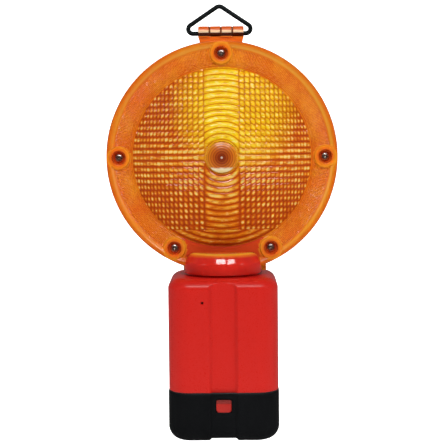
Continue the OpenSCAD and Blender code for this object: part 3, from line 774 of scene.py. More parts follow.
def build_cover():
    rings = []
    inner = cover_ring(0.0, 11.0)
    for t in np.linspace(0, 90, 20):
        a = math.radians(t)
        z, ins = 11 - 11 * math.cos(a), 11 * (1 - math.sin(a))
        rings.append(cover_ring(z, ins, 1.5))
    for z in (11.6, 13, 16, 20, 23, 26, 30, 34, 37, 38.2):
        rings.append(cover_ring(z, 0, 1.5))
    for z, ins in ((38.6, 0.08), (38.88, 0.3), (39.0, 0.65), (39.0, 1.4)):
        rings.append(cover_ring(z, ins, 1.5 - min(ins, 1.4) * 0))
    o = loft("battery_cover_shell", rings)
    cav = []
    for t in np.linspace(0, 90, 10):
        a = math.radians(t)
        p = rrect(82 - 16 * (1 - math.sin(a)), 81 - 16 * (1 - math.sin(a)), 15.5 - 8 * (1 - math.sin(a)), 12)
        cav.append(np.column_stack([p, np.full(len(p), 5.2 + 8 - 8 * math.cos(a))]))
    for z, g in ((20, 0), (34, 0), (38.4, 0), (39.3, 0.5), (40, 0.5)):
        p = rrect(82 + 2 * g, 81 + 2 * g, 15.5 + g, 12)
        cav.append(np.column_stack([p, np.full(len(p), z)]))
    csg(o, loft("cav", cav))
    rec = []
    for z, g in ((-1, 0.5), (0.0, 0.5), (0.5, 0.0), (1.7, 0), (2.2, -0.6)):
        p = rrect(58 + 2 * g, 57 + 2 * g, 6 + g, 8)
        rec.append(np.column_stack([p, np.full(len(p), z)]))
    csg(o, loft("recess", rec))
    # notch through the rim, front and back
    sec = [(-14.2, -1), (-12.3, -0.1), (-11.8, 0.12), (-10.1, 2.6), (-9.5, 3.0), (9.5, 3.0), (10.1, 2.6), (11.8, 0.12), (12.3, -0.1), (14.2, -1)]
    for ya, yb in ((-45, -26), (26, 45)):
        csg(o, loft("notch", [np.array([(x, y, z) for x, z in sec]) for y in (ya, yb)]))
    # latch window
    win = []
    for y, g in ((-43.6, 0.75), (-42.0, 0.45), (-41.75, 0.12), (-41.3, 0.0), (-36, 0.0)):
        p = rrect(12.4 + 2 * g, 10.4 + 2 * g, 1.8 + g, 8)
        win.append(np.column_stack([p[:, 0], np.full(len(p), y), p[:, 1] + 29.05]))
    csg(o, loft("window", win))
    return smooth(o, 30)


battery_cover = build_cover()

# ---------------------------------------------------------------- latch tab


def build_latch():
    spig_in = 80.4 / 2 - 2.2
    lf = 42.1
    c = 23.9 + 10.3 / 2

    def outline(g):
        w, h = 11.9 - 2 * g, 9.9 - 2 * g
        pts = []
        for cx, cz, r, a0 in ((-w / 2, -h / 2, 2.5, 180), (w / 2, -h / 2, 2.5, 270), (w / 2, h / 2, 1.4, 0), (-w / 2, h / 2, 1.4, 90)):
            for t in np.linspace(0, 90, 7):
                a = math.radians(a0 + t)
                sx, sz = (1 if cx < 0 else -1), (1 if cz < 0 else -1)
                pts.append((cx + sx * r + r * math.cos(a), cz + sz * r + r * math.sin(a)))
        return np.array(pts)
    rings = []
    for y, g in ((-spig_in, 0), (-lf + 0.7, 0), (-lf + 0.28, 0.1), (-lf + 0.08, 0.3), (-lf, 0.65)):
        p = outline(g)
        rings.append(np.column_stack([p[:, 0], np.full(len(p), y), p[:, 1] + c]))
    o = loft("latch_tab", rings)
    # finger ledge pressed into the upper part of the face
    cut = []
    for y, g in ((-lf - 1, 0.7), (-lf, 0.35), (-lf + 0.45, 0.0), (-lf + 0.6, -0.4)):
        p = rrect(9.6 + 2 * g, 2.0 + 2 * g, 0.9 + g, 5)
        cut.append(np.column_stack([p[:, 0], np.full(len(p), y), p[:, 1] + c + 3.1]))
    csg(o, loft("ledge", cut))
    csg(o, box("flange", (-7.4, -spig_in + 0.05, 22.7), (7.4, -spig_in + 1.05, 35.4)), "UNION")
    csg(o, box("back", (-6.2, -spig_in - 0.2, 25.4), (6.2, -spig_in + 0.4, 34.2)), "UNION")
    csg(o, rod("pocket", (0, -spig_in - 3, c), (0, -spig_in + 5, c), 3.3, 40))
    return smooth(o, 30)


latch = build_latch()

# ---------------------------------------------------------------- wire loop


def tube(name, path, r, n=24, closed=True):
    path = np.asarray(path, float)
    k = len(path)
    rings = []
    for i in range(k):
        d = path[(i + 1) % k] - path[(i - 1) % k]
        d /= np.linalg.norm(d)
        side = np.array([0, 1.0, 0])
        w = np.cross(side, d)
        a = np.arange(n) * 2 * np.pi / n
        rings.append(path[i] + r * (np.cos(a)[:, None] * side + np.sin(a)[:, None] * w))
    return loft(name, rings, loop=closed)


def build_loop():
    half, br, ar, rise = 21.2, 3.7, 4.4, 21.4
    lo = np.array([half, PIVOT_Z + br])
    hi = np.array([0, PIVOT_Z + rise - ar])
    d = hi - lo
    tilt = math.atan2(d[1], d[0]) - math.acos((br - ar) / np.linalg.norm(d))
    pts = [(x, PIVOT_Z) for x in np.linspace(-half, half, 24)]
    for t in np.linspace(-math.pi / 2, tilt, 14)[1:]:
        pts.append((lo[0] + br * math.cos(t), lo[1] + br * math.sin(t)))
    a = np.array(pts[-1])
    b = hi + ar * np.array([math.cos(tilt), math.sin(tilt)])
    for k in np.linspace(0, 1, 14)[1:]:
        pts.append(tuple(a + (b - a) * k))
    for t in np.linspace(tilt, math.pi - tilt, 14)[1:]:
        pts.append((hi[0] + ar * math.cos(t), hi[1] + ar * math.sin(t)))
    right_side = [p for p in pts[24:]]
    # mirror of the right side, from the apex back down
    n_r = len(right_side)
    mirror = [(-x, z) for x, z in right_side[: n_r - 13]][::-1]
    pts = pts + mirror[:-0 or None]
    clean = [pts[0]]
    for p in pts[1:]:
        if math.hypot(p[0] - clean[-1][0], p[1] - clean[-1][1]) > 0.05:
            clean.append(p)
    if math.hypot(clean[0][0] - clean[-1][0], clean[0][1] - clean[-1][1]) < 0.05:
        clean.pop()
    return smooth(tube("hang_wire", [(x - 1.2, 0, z) for x, z in clean], 1.8, 24), 60)


loop = build_loop()

# ---------------------------------------------------------------- lens screws: pan heads with a cross recess and a thread


def build_screws():
    parts = []
    head, hh, shank, ln = 3.3, 2.4, 1.95, 12.0
    for a in SCREW_DEG:
        c = SCREW_R * np.array([math.cos(math.radians(a)), math.sin(math.radians(a))])
        prof = [(0, -ln), (0.5, -ln), (1.35, -ln + 1.6)]
        z = -ln + 1.6
        while z + 1.0 < -0.4:
            prof += [(1.4, z + 0.15), (shank, z + 0.5), (1.4, z + 0.85)]
            z += 1.0
        prof += [(1.5, -0.3), (1.6, 0.0), (head - 0.25, 0.0), (head, 0.25), (head, 0.9)]
        prof += [(head - 2.2 + 2.2 * math.cos(t), 0.9 + 1.5 * math.sin(t)) for t in np.radians([12, 25, 38, 52, 66, 80])]
        prof += [(1.0, hh), (0, hh)]
        lw = lens_to_world(-1)

        def place(p, c=c):
            q = np.array(p, float)
            q[:, 0] += c[0]
            q[:, 1] += c[1]
            q[:, 2] += 4.6
            return lw(q)
        o = revolve("screw", prof, 40, place)
        turn = math.radians(20 + a)
        for t in (turn, turn + math.pi / 2):
            rings = []
            for z, l, w in ((hh + 0.5, 2.2, 0.62), (hh, 2.0, 0.5), (hh - 1.1, 1.0, 0.36), (hh - 1.5, 0.3, 0.22)):
                q = np.array([(-l, -w, z), (l, -w, z), (l, w, z), (-l, w, z)])
                q = np.column_stack([q[:, 0] * math.cos(t) - q[:, 1] * math.sin(t), q[:, 0] * math.sin(t) + q[:, 1] * math.cos(t), q[:, 2]])
                rings.append(place(q))
            csg(o, loft("cross", rings))
        parts.append(o)
    bm = bmesh.new()
    for o in parts:
        bm.from_mesh(o.data)
    me = bpy.data.meshes.new("lens_screw_set")
    bm.to_mesh(me)
    bm.free()
    drop(*parts)
    o = bpy.data.objects.new("lens_screw_set", me)
    bpy.context.scene.collection.objects.link(o)
    return smooth(o, 35)


screws = build_screws()

# ---------------------------------------------------------------- foam pad


def build_foam():
    n = 60
    u = np.linspace(-1, 1, n)
    x, y = np.meshgrid(u, u, indexing="ij")
    # rounded-square plan
    k = 1 - 0.035 * (x * x * y * y)
    px, py = 30 * x * k, 30 * y * k
    edge = np.maximum(np.abs(x), np.abs(y))
    lift = 3.0 * (1 - np.clip((edge - 0.9) / 0.1, 0, 1) ** 2 * 0.5)
    rng = np.random.default_rng(7)
    cells = rng.normal(0, 0.045, (n, n))
    top = 5.2 + lift - 0.12 + np.clip(cells, -0.1, 0.1)
    press = sstep(0.98, 0.86, edge)
    top = np.minimum(top, 8.15) - 0.02 * press
    bot = np.full((n, n), 5.22)
    verts = np.concatenate([np.stack([px, py, top], -1).reshape(-1, 3), np.stack([px, py, bot], -1).reshape(-1, 3)])
    faces = []
    for i in range(n - 1):
        for j in range(n - 1):
            a, b, c, d = i * n + j, (i + 1) * n + j, (i + 1) * n + j + 1, i * n + j + 1
            faces.append((a, b, c, d))
            faces.append((d + n * n, c + n * n, b + n * n, a + n * n))
    rim = [(i, 0) for i in range(n)] + [(n - 1, j) for j in range(1, n)] + [(i, n - 1) for i in range(n - 2, -1, -1)] + [(0, j) for j in range(n - 2, 0, -1)]
    ids = [i * n + j for i, j in rim]
    for a, b in zip(ids, ids[1:] + ids[:1]):
        faces.append((b, a, a + n * n, b + n * n))
    return smooth(obj_from("foam_seat", verts, faces), 50)


foam = build_foam()

# ---------------------------------------------------------------- latch spring


def build_latch_spring():
    y0, length, rad, wire, turns = -40.95, 6.4, 2.75, 0.3, 5
    zc, k, m = 29.05, 240, 12
    rings = []
    for i in range(k + 1):
        t = i / k
        a = 2 * math.pi * turns * t
        # the end turns lie flat against the tab and the retainer
        u = t + 0.55 / turns * math.sin(2 * math.pi * t) / (2 * math.pi) * -1
        y = y0 + wire + (length - 2 * wire) * u
        out = np.array([math.cos(a), 0, math.sin(a)])
        q = np.arange(m) * 2 * np.pi / m
        c = np.array([0, y, zc]) + rad * out
        rings.append(c + wire * (np.cos(q)[:, None] * out + np.sin(q)[:, None] * np.array([0, 1.0, 0])))
    return smooth(loft("latch_coil", rings), 40)


latch_coil = build_latch_spring()

# ---------------------------------------------------------------- materials


class Mat:
    """Small helper that builds a node tree around one Principled shader."""

    def __init__(self, name, **sockets):
        self.m = bpy.data.materials.new(name)
        self.m.use_nodes = True
        self.t = self.m.node_tree
        self.p = self.t.nodes["Principled BSDF"]
        self.tc = self.t.nodes.new("ShaderNodeTexCoord")
        for k, v in sockets.items():
            self.p.inputs[k.replace("_", " ")].default_value = v

    def n(self, kind, **props):
        node = self.t.nodes.new(kind)
        for k, v in props.items():
            if hasattr(node, k):
                setattr(node, k, v)
            else:
                node.inputs[k].default_value = v
        return node

    def link(self, a, b):
        self.t.links.new(a, b)

    def noise(self, scale, detail=3.0, rough=0.55, vec=None, distort=0.0):
        k = self.n("ShaderNodeTexNoise")
        k.inputs["Scale"].default_value = scale
        k.inputs["Detail"].default_value = detail
        k.inputs["Roughness"].default_value = rough
        k.inputs["Distortion"].default_value = distort
        self.link(vec or self.tc.outputs["Object"], k.inputs["Vector"])
        return k.outputs["Fac"]

    def ramp(self, fac, stops):
        k = self.n("ShaderNodeValToRGB")
        el = k.color_ramp.elements
        while len(el) < len(stops):
            el.new(0.5)
        for e_, (pos, c) in zip(el, stops):
            e_.position = pos
            e_.color = (*c, 1) if len(c) == 3 else c
        self.link(fac, k.inputs["Fac"])
        return k.outputs["Color"]

    def range(self, fac, lo, hi, a=0.0, b=1.0):
        k = self.n("ShaderNodeMapRange")
        k.inputs["From Min"].default_value = a
        k.inputs["From Max"].default_value = b
        k.inputs["To Min"].default_value = lo
        k.inputs["To Max"].default_value = hi
        self.link(fac, k.inputs["Value"])
        return k.outputs["Result"]

    def math(self, op, a, b=None):
        k = self.n("ShaderNodeMath")
        k.operation = op
        for i, v in enumerate((a, b)):
            if v is None:
                continue
            if isinstance(v, (int, float)):
                k.inputs[i].default_value = v
            else:
                self.link(v, k.inputs[i])
        return k.outputs[0]

    def mix(self, fac, a, b, mode="MIX"):
        k = self.n("ShaderNodeMix")
        k.data_type = "RGBA"
        k.blend_type = mode
        for i, v in ((0, fac), (6, a), (7, b)):
            if isinstance(v, (int, float)):
                k.inputs[i].default_value = v
            elif isinstance(v, tuple):
                k.inputs[i].default_value = (*v, 1) if len(v) == 3 else v
            else:
                self.link(v, k.inputs[i])
        return k.outputs[2]

    def set(self, socket, value):
        self.link(value, self.p.inputs[socket])

    def bump(self, height, strength=0.3, distance=0.0005, normal=None):
        k = self.n("ShaderNodeBump")
        k.inputs["Strength"].default_value = strength
        k.inputs["Distance"].default_value = distance
        self.link(height, k.inputs["Height"])
        if normal is not None:
            self.link(normal, k.inputs["Normal"])
        return k.outputs["Normal"]


def amber_material():
    M = Mat("amber_lens", Roughness=0.12, IOR=1.49)
    M.p.inputs["Transmission Weight"].default_value = 0.42
    M.p.inputs["Specular IOR Level"].default_value = 0.38
    relief_lit = M.n("ShaderNodeAttribute", attribute_name="painted_relief_light").outputs["Fac"]
    prism = M.n("ShaderNodeAttribute", attribute_name="prism").outputs["Fac"]
    tone_and_highlight = M.n("ShaderNodeAttribute", attribute_name="tone_and_highlight").outputs["Fac"]
    warm = M.n("ShaderNodeAttribute", attribute_name="warm").outputs["Fac"]
    sep = M.n("ShaderNodeSeparateXYZ")
    M.link(M.tc.outputs["Object"], sep.inputs[0])
    X, Z = sep.outputs["X"], sep.outputs["Z"]
    zl = M.math("SUBTRACT", Z, LENS_Z * MM)
    n1 = M.noise(45, 4)
    n2 = M.noise(130, 3)
    wob = M.math("MULTIPLY", M.math("SUBTRACT", n2, 0.5), 0.55)
    # painted light: short level streaks of bright sparkle and dark patches, as a pattern behind the front one gives
    flat_map = M.n("ShaderNodeMapping")
    M.link(M.tc.outputs["Object"], flat_map.inputs["Vector"])
    flat_map.inputs["Scale"].default_value = (1, 1, 3.4)
    streak = M.noise(170, 3, 0.6, vec=flat_map.outputs["Vector"])
    # painted light: the disc is painted brighter and yellower above its middle, standing in for light shining through
    # from behind
    dx = M.math("DIVIDE", M.math("SUBTRACT", X, 0.0105), 0.040)
    dz = M.math("DIVIDE", M.math("SUBTRACT", zl, 0.041), 0.041)
    mid = M.math("ADD", M.math("ADD", M.math("MULTIPLY", dx, dx), M.math("MULTIPLY", dz, dz)), wob)
    painted_backlight = M.math("MULTIPLY", M.range(mid, 1.0, 0.0, 0.45, 1.75), prism)
    # orange body, with painted highlights on the crowns of the prisms and painted shade in the valleys
    side = M.ramp(relief_lit, [(0.0, (0.44, 0.055, 0.003)), (0.45, (0.66, 0.115, 0.004)), (0.68, (0.92, 0.28, 0.008)), (0.84, (1.0, 0.56, 0.06)), (1.0, (1.0, 0.80, 0.22))])
    centre = M.ramp(relief_lit, [(0.0, (0.46, 0.13, 0.003)), (0.22, (0.82, 0.36, 0.004)), (0.5, (0.98, 0.62, 0.006)), (0.9, (1.0, 0.76, 0.012)), (1.0, (1.0, 0.84, 0.06))])
    disc = M.mix(painted_backlight, side, centre)
    dark = M.mix(painted_backlight, (0.55, 0.075, 0.004), (0.80, 0.36, 0.006))
    disc = M.mix(M.math("MULTIPLY", M.range(streak, 0.75, 0.0, 0.34, 0.50), prism), disc, dark)
    # painted highlight: bright sparkle flecks on the lighter crowns
    sparkle_highlight = M.math("MULTIPLY", M.range(streak, 0.0, 0.75, 0.56, 0.68), M.math("MULTIPLY", prism, M.range(relief_lit, 0.0, 1.0, 0.35, 0.75)))
    disc = M.mix(sparkle_highlight, disc, M.mix(painted_backlight, (1.0, 0.66, 0.18), (1.0, 0.92, 0.30)))
    # reflex ring: painted highlights on the prism crowns and painted shade between them, with random patches of lighter
    # and darker tone
    ringc = M.ramp(relief_lit, [(0.0, (0.58, 0.10, 0.003)), (0.55, (0.90, 0.23, 0.006)), (1.0, (1.0, 0.40, 0.018))])
    ringc = M.mix(M.range(n1, 0.0, 0.55, 0.42, 0.68), ringc, (0.86, 0.13, 0.004))
    ringc = M.mix(M.range(n1, 0.45, 0.0, 0.30, 0.46), ringc, (1.0, 0.40, 0.016))
    base = M.mix(prism, ringc, disc)
    # painted highlight on the bevel, pads, eye step and collar top; deep red for the wells and thick parts
    up = M.range(tone_and_highlight, 0.0, 1.0, 0.0, 1.0)
    dn = M.range(tone_and_highlight, 0.0, 1.0, 0.0, -1.0)
    base = M.mix(up, base, (1.0, 0.50, 0.035))
    base = M.mix(dn, base, (0.42, 0.030, 0.004))
    # bull's-eye: painted shade where it looks straight at the board, with a pale spot over the lamp and painted shade
    # in its ring grooves
    rr = M.math("SQRT", M.math("ADD", M.math("MULTIPLY", X, X), M.math("MULTIPLY", zl, zl)))
    eye = M.n("ShaderNodeAttribute", attribute_name="eye").outputs["Fac"]
    eyec = M.ramp(M.range(rr, 0, 1, 0, 0.0120), [(0.0, (1.0, 0.94, 0.84)), (0.045, (0.95, 0.75, 0.52)), (0.10, (0.20, 0.022, 0.004)), (0.35, (0.42, 0.070, 0.005)), (0.7, (0.70, 0.17, 0.008)), (0.95, (0.86, 0.30, 0.012))])
    eyec = M.mix(M.range(relief_lit, 0.7, 0.0, 0.0, 1.0), eyec, (0.12, 0.012, 0.005))
    # painted highlight: the mask below is a pale crescent along the lower edge of the eye
    edge = M.math("ADD", zl, M.math("MULTIPLY", M.math("SUBTRACT", M.noise(380, 2), 0.5), 0.0016))
    clear = M.math("MULTIPLY", M.range(edge, 1.0, 0.0, -0.0090, -0.0074), M.range(rr, 1.0, 0.0, 0.0116, 0.0122))
    eyec = M.mix(clear, eyec, M.mix(M.range(zl, 1.0, 0.0, -0.0116, -0.0084), (1.0, 0.95, 0.62), (0.80, 0.62, 0.20)))
    eye_only = M.math("MULTIPLY", eye, M.range(tone_and_highlight, 1.0, 0.0, 0.2, 0.9))
    base = M.mix(eye_only, base, eyec)
    # hinge: a painted highlight band along the middle of the barrel, and a dark band where the wire lies inside its
    # lower side
    up_z = M.math("SUBTRACT", Z, BARREL_Z * MM)
    barrel = M.ramp(M.range(up_z, 0, 1, -0.0092, 0.0040), [(0.0, (0.98, 0.20, 0.014)), (0.36, (1.0, 0.22, 0.016)), (0.41, (0.04, 0.008, 0.004)), (0.58, (0.09, 0.016, 0.006)), (0.615, (1.0, 0.84, 0.58)), (0.72, (1.0, 0.74, 0.42)), (0.755, (0.60, 0.11, 0.008)), (1.0, (0.66, 0.085, 0.012))])
    ax = M.math("ABSOLUTE", X)
    off = M.math("MINIMUM", ax, M.math("ABSOLUTE", M.math("SUBTRACT", ax, 0.0091)))
    # painted shade in the notches between the knuckles
    knuckle_gap_shade = M.math("MULTIPLY", M.range(off, 1.0, 0.0, 0.0004, 0.0011), M.range(up_z, 0.0, 1.0, -0.0045, -0.0025))
    barrel = M.mix(knuckle_gap_shade, barrel, (0.16, 0.035, 0.006))
    on_hinge = M.range(up_z, 0.0, 1.0, -0.0092, -0.0084)
    base = M.mix(on_hinge, base, barrel)
    base = M.mix(warm, base, M.mix(M.range(n2, 0, 1, 0.35, 0.65), (0.84, 0.032, 0.018), (0.76, 0.024, 0.015)))
    M.set("Base Color", base)
    M.set("Roughness", M.math("ADD", M.range(M.noise(900, 2), 0.05, 0.13, 0.3, 0.7), M.range(M.math("SUBTRACT", 1.0, M.math("MAXIMUM", prism, warm)), 0.0, 0.14)))
    M.set("Normal", M.bump(M.noise(420, 3), 0.05, 0.0004))
    return M.m


def moulded(name, base, alt, rough, grain, bump_s, spec=0.5, mottle=30):
    M = Mat(name, Metallic=0.0)
    M.p.inputs["Specular IOR Level"].default_value = spec
    big = M.noise(mottle, 1)
    fine = M.noise(grain, 3, 0.6)
    c = M.mix(M.range(big, 0.0, 0.6, 0.3, 0.7), base, alt)
    c = M.mix(M.range(fine, 0.0, 0.10, 0.35, 0.75), c, tuple(min(1, x * 1.8 + 0.02) for x in base))
    M.set("Base Color", c)
    M.set("Roughness", M.range(fine, rough[0], rough[1], 0.3, 0.7))
    M.set("Normal", M.bump(fine, bump_s, 0.00025))
    return M.m


def case_material():
    """Red moulded plastic: a slow drift in the pigment and a fine even grain."""
    M = Mat("red_case")
    M.p.inputs["Specular IOR Level"].default_value = 0.26
    soft = M.noise(9, 0)
    fine = M.noise(1500, 2, 0.5)
    c = M.mix(M.range(soft, 0.0, 1.0, 0.3, 0.7), (0.462, 0.0100, 0.0058), (0.476, 0.0106, 0.0062))
    c = M.mix(M.range(fine, 0.0, 0.08, 0.35, 0.75), c, (0.80, 0.035, 0.028))
    M.set("Base Color", c)
    M.set("Roughness", M.range(fine, 0.27, 0.30, 0.3, 0.7))
    M.set("Normal", M.bump(fine, 0.10, 0.0002))
    return M.m


def metal(name, base, rough, scratch=1400):
    M = Mat(name, Metallic=1.0)
    a = M.noise(160, 5)
    vec = M.n("ShaderNodeMapping")
    M.link(M.tc.outputs["Object"], vec.inputs["Vector"])
    vec.inputs["Scale"].default_value = (1, 1, 12)
    b = M.noise(scratch, 2, vec=vec.outputs["Vector"])
    M.set("Base Color", M.mix(M.range(a, 0, 0.7, 0.35, 0.7), base, tuple(x * 0.62 for x in base)))
    M.set("Roughness", M.range(b, rough[0], rough[1], 0.3, 0.7))
    M.set("Normal", M.bump(b, 0.12, 0.0001))
    return M.m


def latch_material():
    """Red tab: the step across its top and the flange deep in the window sit in shade."""
    M = Mat("red_latch")
    M.p.inputs["Specular IOR Level"].default_value = 0.28
    sep = M.n("ShaderNodeSeparateXYZ")
    M.link(M.tc.outputs["Object"], sep.inputs[0])
    fine = M.noise(1500, 3, 0.6)
    c = M.mix(M.range(M.noise(60, 3), 0.0, 1.0, 0.35, 0.65), (0.38, 0.016, 0.010), (0.34, 0.013, 0.009))
    c = M.mix(M.range(sep.outputs["Z"], 0.0, 0.75, 0.0306, 0.0314), c, (0.16, 0.024, 0.020))
    c = M.mix(M.range(sep.outputs["Y"], 0.0, 1.0, -0.0408, -0.0398), c, (0.035, 0.004, 0.004))
    M.set("Base Color", c)
    M.set("Roughness", M.range(fine, 0.26, 0.40, 0.3, 0.7))
    M.set("Normal", M.bump(fine, 0.12, 0.00025))
    return M.m


MATS = {
    "amber": amber_material(),
    "red": case_material(),
    "red_tab": latch_material(),
    "black": moulded("black_cover", (0.0026, 0.0030, 0.0037), (0.0044, 0.0049, 0.0057), (0.45, 0.60), 1100, 0.42, 0.10),
    "wire": moulded("black_wire", (0.0028, 0.0042, 0.0045), (0.0050, 0.0066, 0.0070), (0.30, 0.46), 1800, 0.3, 0.10),
    "rubber": moulded("seal_rubber", (0.016, 0.016, 0.017), (0.03, 0.03, 0.031), (0.6, 0.8), 1200, 0.3, 0.3),
    "screw": metal("screw_steel", (0.46, 0.42, 0.38), (0.18, 0.34)),
    "spring": metal("spring_steel", (0.52, 0.52, 0.54), (0.2, 0.34)),
    "brass": metal("contact_brass", (0.75, 0.50, 0.20), (0.22, 0.38)),
    "holder": moulded("holder_plastic", (0.035, 0.036, 0.04), (0.055, 0.056, 0.06), (0.42, 0.58), 1300, 0.25),
    "plug": moulded("plug_black", (0.02, 0.02, 0.022), (0.035, 0.035, 0.038), (0.35, 0.5), 1300, 0.25),
    "lead": moulded("lead_black", (0.014, 0.014, 0.015), (0.024, 0.024, 0.025), (0.45, 0.6), 1600, 0.2),
    "lead_red": moulded("lead_red", (0.42, 0.02, 0.02), (0.5, 0.03, 0.025), (0.4, 0.55), 1600, 0.2),
    "chip": moulded("chip_black", (0.02, 0.02, 0.023), (0.03, 0.03, 0.034), (0.4, 0.6), 2400, 0.3),
    "button": moulded("button_grey", (0.035, 0.035, 0.038), (0.05, 0.05, 0.054), (0.35, 0.5), 1600, 0.2),
    "top": moulded("battery_top_grey", (0.60, 0.60, 0.57), (0.52, 0.52, 0.49), (0.4, 0.55), 1200, 0.25),
    "jacket": moulded("jacket_blue", (0.025, 0.075, 0.20), (0.02, 0.06, 0.17), (0.25, 0.38), 1500, 0.1),
    "foam": moulded("seat_foam", (0.045, 0.045, 0.05), (0.075, 0.075, 0.08), (0.85, 0.98), 700, 0.9, 0.1),
}


def board_material():
    M = Mat("board_white", Roughness=0.4)
    vo = M.n("ShaderNodeTexVoronoi", feature="DISTANCE_TO_EDGE")
    vo.inputs["Scale"].default_value = 330
    M.link(M.tc.outputs["Object"], vo.inputs["Vector"])
    track = M.range(vo.outputs["Distance"], 1, 0, 0.05, 0.09)
    c = M.mix(M.range(M.noise(120, 3), 0, 0.3, 0.35, 0.7), (0.70, 0.68, 0.60), (0.60, 0.585, 0.51))
    M.set("Base Color", M.mix(M.math("MULTIPLY", track, 0.45), c, (0.36, 0.38, 0.26)))
    M.set("Roughness", M.range(track, 0.45, 0.3))
    M.set("Normal", M.bump(track, 0.15, 0.0002))
    return M.m


def phenolic_material():
    M = Mat("plate_brown", Roughness=0.5)
    w = M.n("ShaderNodeTexWave", bands_direction="X")
    w.inputs["Scale"].default_value = 160
    w.inputs["Distortion"].default_value = 3.5
    w.inputs["Detail"].default_value = 3
    M.link(M.tc.outputs["Object"], w.inputs["Vector"])
    c = M.mix(w.outputs["Fac"], (0.20, 0.085, 0.03), (0.29, 0.13, 0.05))
    M.set("Base Color", M.mix(M.range(M.noise(300, 4), 0, 0.4, 0.4, 0.7), c, (0.12, 0.05, 0.02)))
    M.set("Roughness", M.range(w.outputs["Fac"], 0.42, 0.55))
    M.set("Normal", M.bump(w.outputs["Fac"], 0.1, 0.0002))
    return M.m


def led_material():
    M = Mat("led_clear", Roughness=0.06, IOR=1.5)
    M.p.inputs["Transmission Weight"].default_value = 0.6
    sep = M.n("ShaderNodeSeparateXYZ")
    M.link(M.tc.outputs["Object"], sep.inputs[0])
    ay = M.math("ABSOLUTE", sep.outputs["Y"])
    c = M.ramp(M.range(ay, 0, 1, 0.0008, 0.0095), [(0.0, (0.35, 0.30, 0.22)), (0.35, (0.72, 0.66, 0.55)), (1.0, (0.95, 0.93, 0.88))])
    M.set("Base Color", M.mix(M.range(M.noise(900, 3), 0, 0.15, 0.4, 0.7), c, (0.8, 0.72, 0.55)))
    M.set("Normal", M.bump(M.noise(1500, 2), 0.03, 0.0001))
    return M.m


def sensor_material():
    M = Mat("sensor_face", Roughness=0.18)
    w = M.n("ShaderNodeTexWave", bands_direction="X")
    w.inputs["Scale"].default_value = 620
    w.inputs["Distortion"].default_value = 1.5
    M.link(M.tc.outputs["Object"], w.inputs["Vector"])
    M.set("Base Color", M.mix(M.range(w.outputs["Fac"], 0, 1, 0.45, 0.6), (0.52, 0.17, 0.05), (0.16, 0.09, 0.05)))
    M.set("Normal", M.bump(w.outputs["Fac"], 0.1, 0.0001))
    return M.m


MATS["board"] = board_material()
MATS["plate"] = phenolic_material()
MATS["led"] = led_material()
MATS["sensor"] = sensor_material()


def paint(o, mat):
    o.data.materials.clear()
    o.data.materials.append(MATS[mat])


CAD = {
    "lens_seal": "rubber", "board_holder": "holder", "led_board": "board", "front_led": "led", "rear_led": "led",
    "light_sensor": "sensor", "board_components": "chip", "board_screws": "screw", "lead_cable": "lead", "lead_plug": "plug",
    "swivel_seal": "rubber", "contact_plate": "plate", "centre_contact": "brass", "outer_contact": "brass",
    "contact_screws": "screw", "lead_socket": "plug", "switch_body": "chip", "switch_button": "button", "switch_leads": "lead_red",
    "latch_spring": "spring", "latch_retainer": "spring", "cover_seal": "rubber", "battery_jacket": "jacket",
    "battery_top": "top", "battery_springs": "spring",
}
for node, mat in CAD.items():
    paint(nodes[node], mat)

for o, body, node, slot, mat in (
    (front_lens, "head", "front_lens", "amber_lens", "amber"),
    (rear_lens, "head", "rear_lens", "amber_lens", "amber"),
    (screws, "head", "lens_screws", "screw_steel", "screw"),
    (loop, "loop", "hang_loop", "black_wire", "wire"),
    (battery_case, "case", "battery_case", "red_case", "red"),
    (battery_cover, "cover", "battery_cover", "black_cover", "black"),
    (latch, "latch", "latch_button", "red_case", "red_tab"),
    (foam, "cover", "foam_pad", "seat_foam", "foam"),
    (latch_coil, "case", "latch_spring", "spring_steel", "spring"),
):
    paint(o, mat)
    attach(o, body)
    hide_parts(node)
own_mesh(latch_coil)

# ---------------------------------------------------------------- studio


# the lamp hangs clear of the paper, which leaves room for the cover to slide down off the case
PAPER_Z = -0.1305


def backdrop():
    w, front, back, rad, top = 5.0, -2.6, 1.6, 0.9, 3.4
    prof = [(front, 0.0), (0.0, 0.0), (back - rad, 0.0)]
    for t in np.linspace(0, 90, 24)[1:]:
        a = math.radians(t)
        prof.append((back - rad + rad * math.sin(a), rad - rad * math.cos(a)))
    prof.append((back, top))
    xs = np.linspace(-w, w, 9)
    verts = [(x, y, z + PAPER_Z) for y, z in prof for x in xs]
    faces = []
    k = len(xs)
    for i in range(len(prof) - 1):
        for j in range(k - 1):
            faces.append((i * k + j, i * k + j + 1, (i + 1) * k + j + 1, (i + 1) * k + j))
    me = bpy.data.meshes.new("studio_floor")
    me.from_pydata(verts, [], faces)
    me.polygons.foreach_set("use_smooth", [True] * len(me.polygons))
    o = bpy.data.objects.new("studio_floor", me)
    bpy.context.scene.collection.objects.link(o)
    M = Mat("studio_paper", Roughness=0.9)
    pale = M.mix(M.range(M.noise(3, 2), 0, 1, 0.3, 0.7), (0.90, 0.90, 0.90), (0.93, 0.93, 0.93))
    M.set("Base Color", pale)
    sep = M.n("ShaderNodeSeparateXYZ")
    M.link(M.tc.outputs["Object"], sep.inputs[0])
    ax = M.math("ABSOLUTE", sep.outputs["X"])
    mask = M.math("MULTIPLY", M.range(ax, 1.0, 0.30, 0.65, 1.4), M.range(sep.outputs["Y"], 0.15, 1.0, -0.55, -0.15))
    M.set("Emission Color", M.mix(mask, (0.0, 0.0, 0.0), pale))
    M.p.inputs["Emission Strength"].default_value = 1.0
    me.materials.append(M.m)
    return o


floor = backdrop()
floor.visible_glossy = False


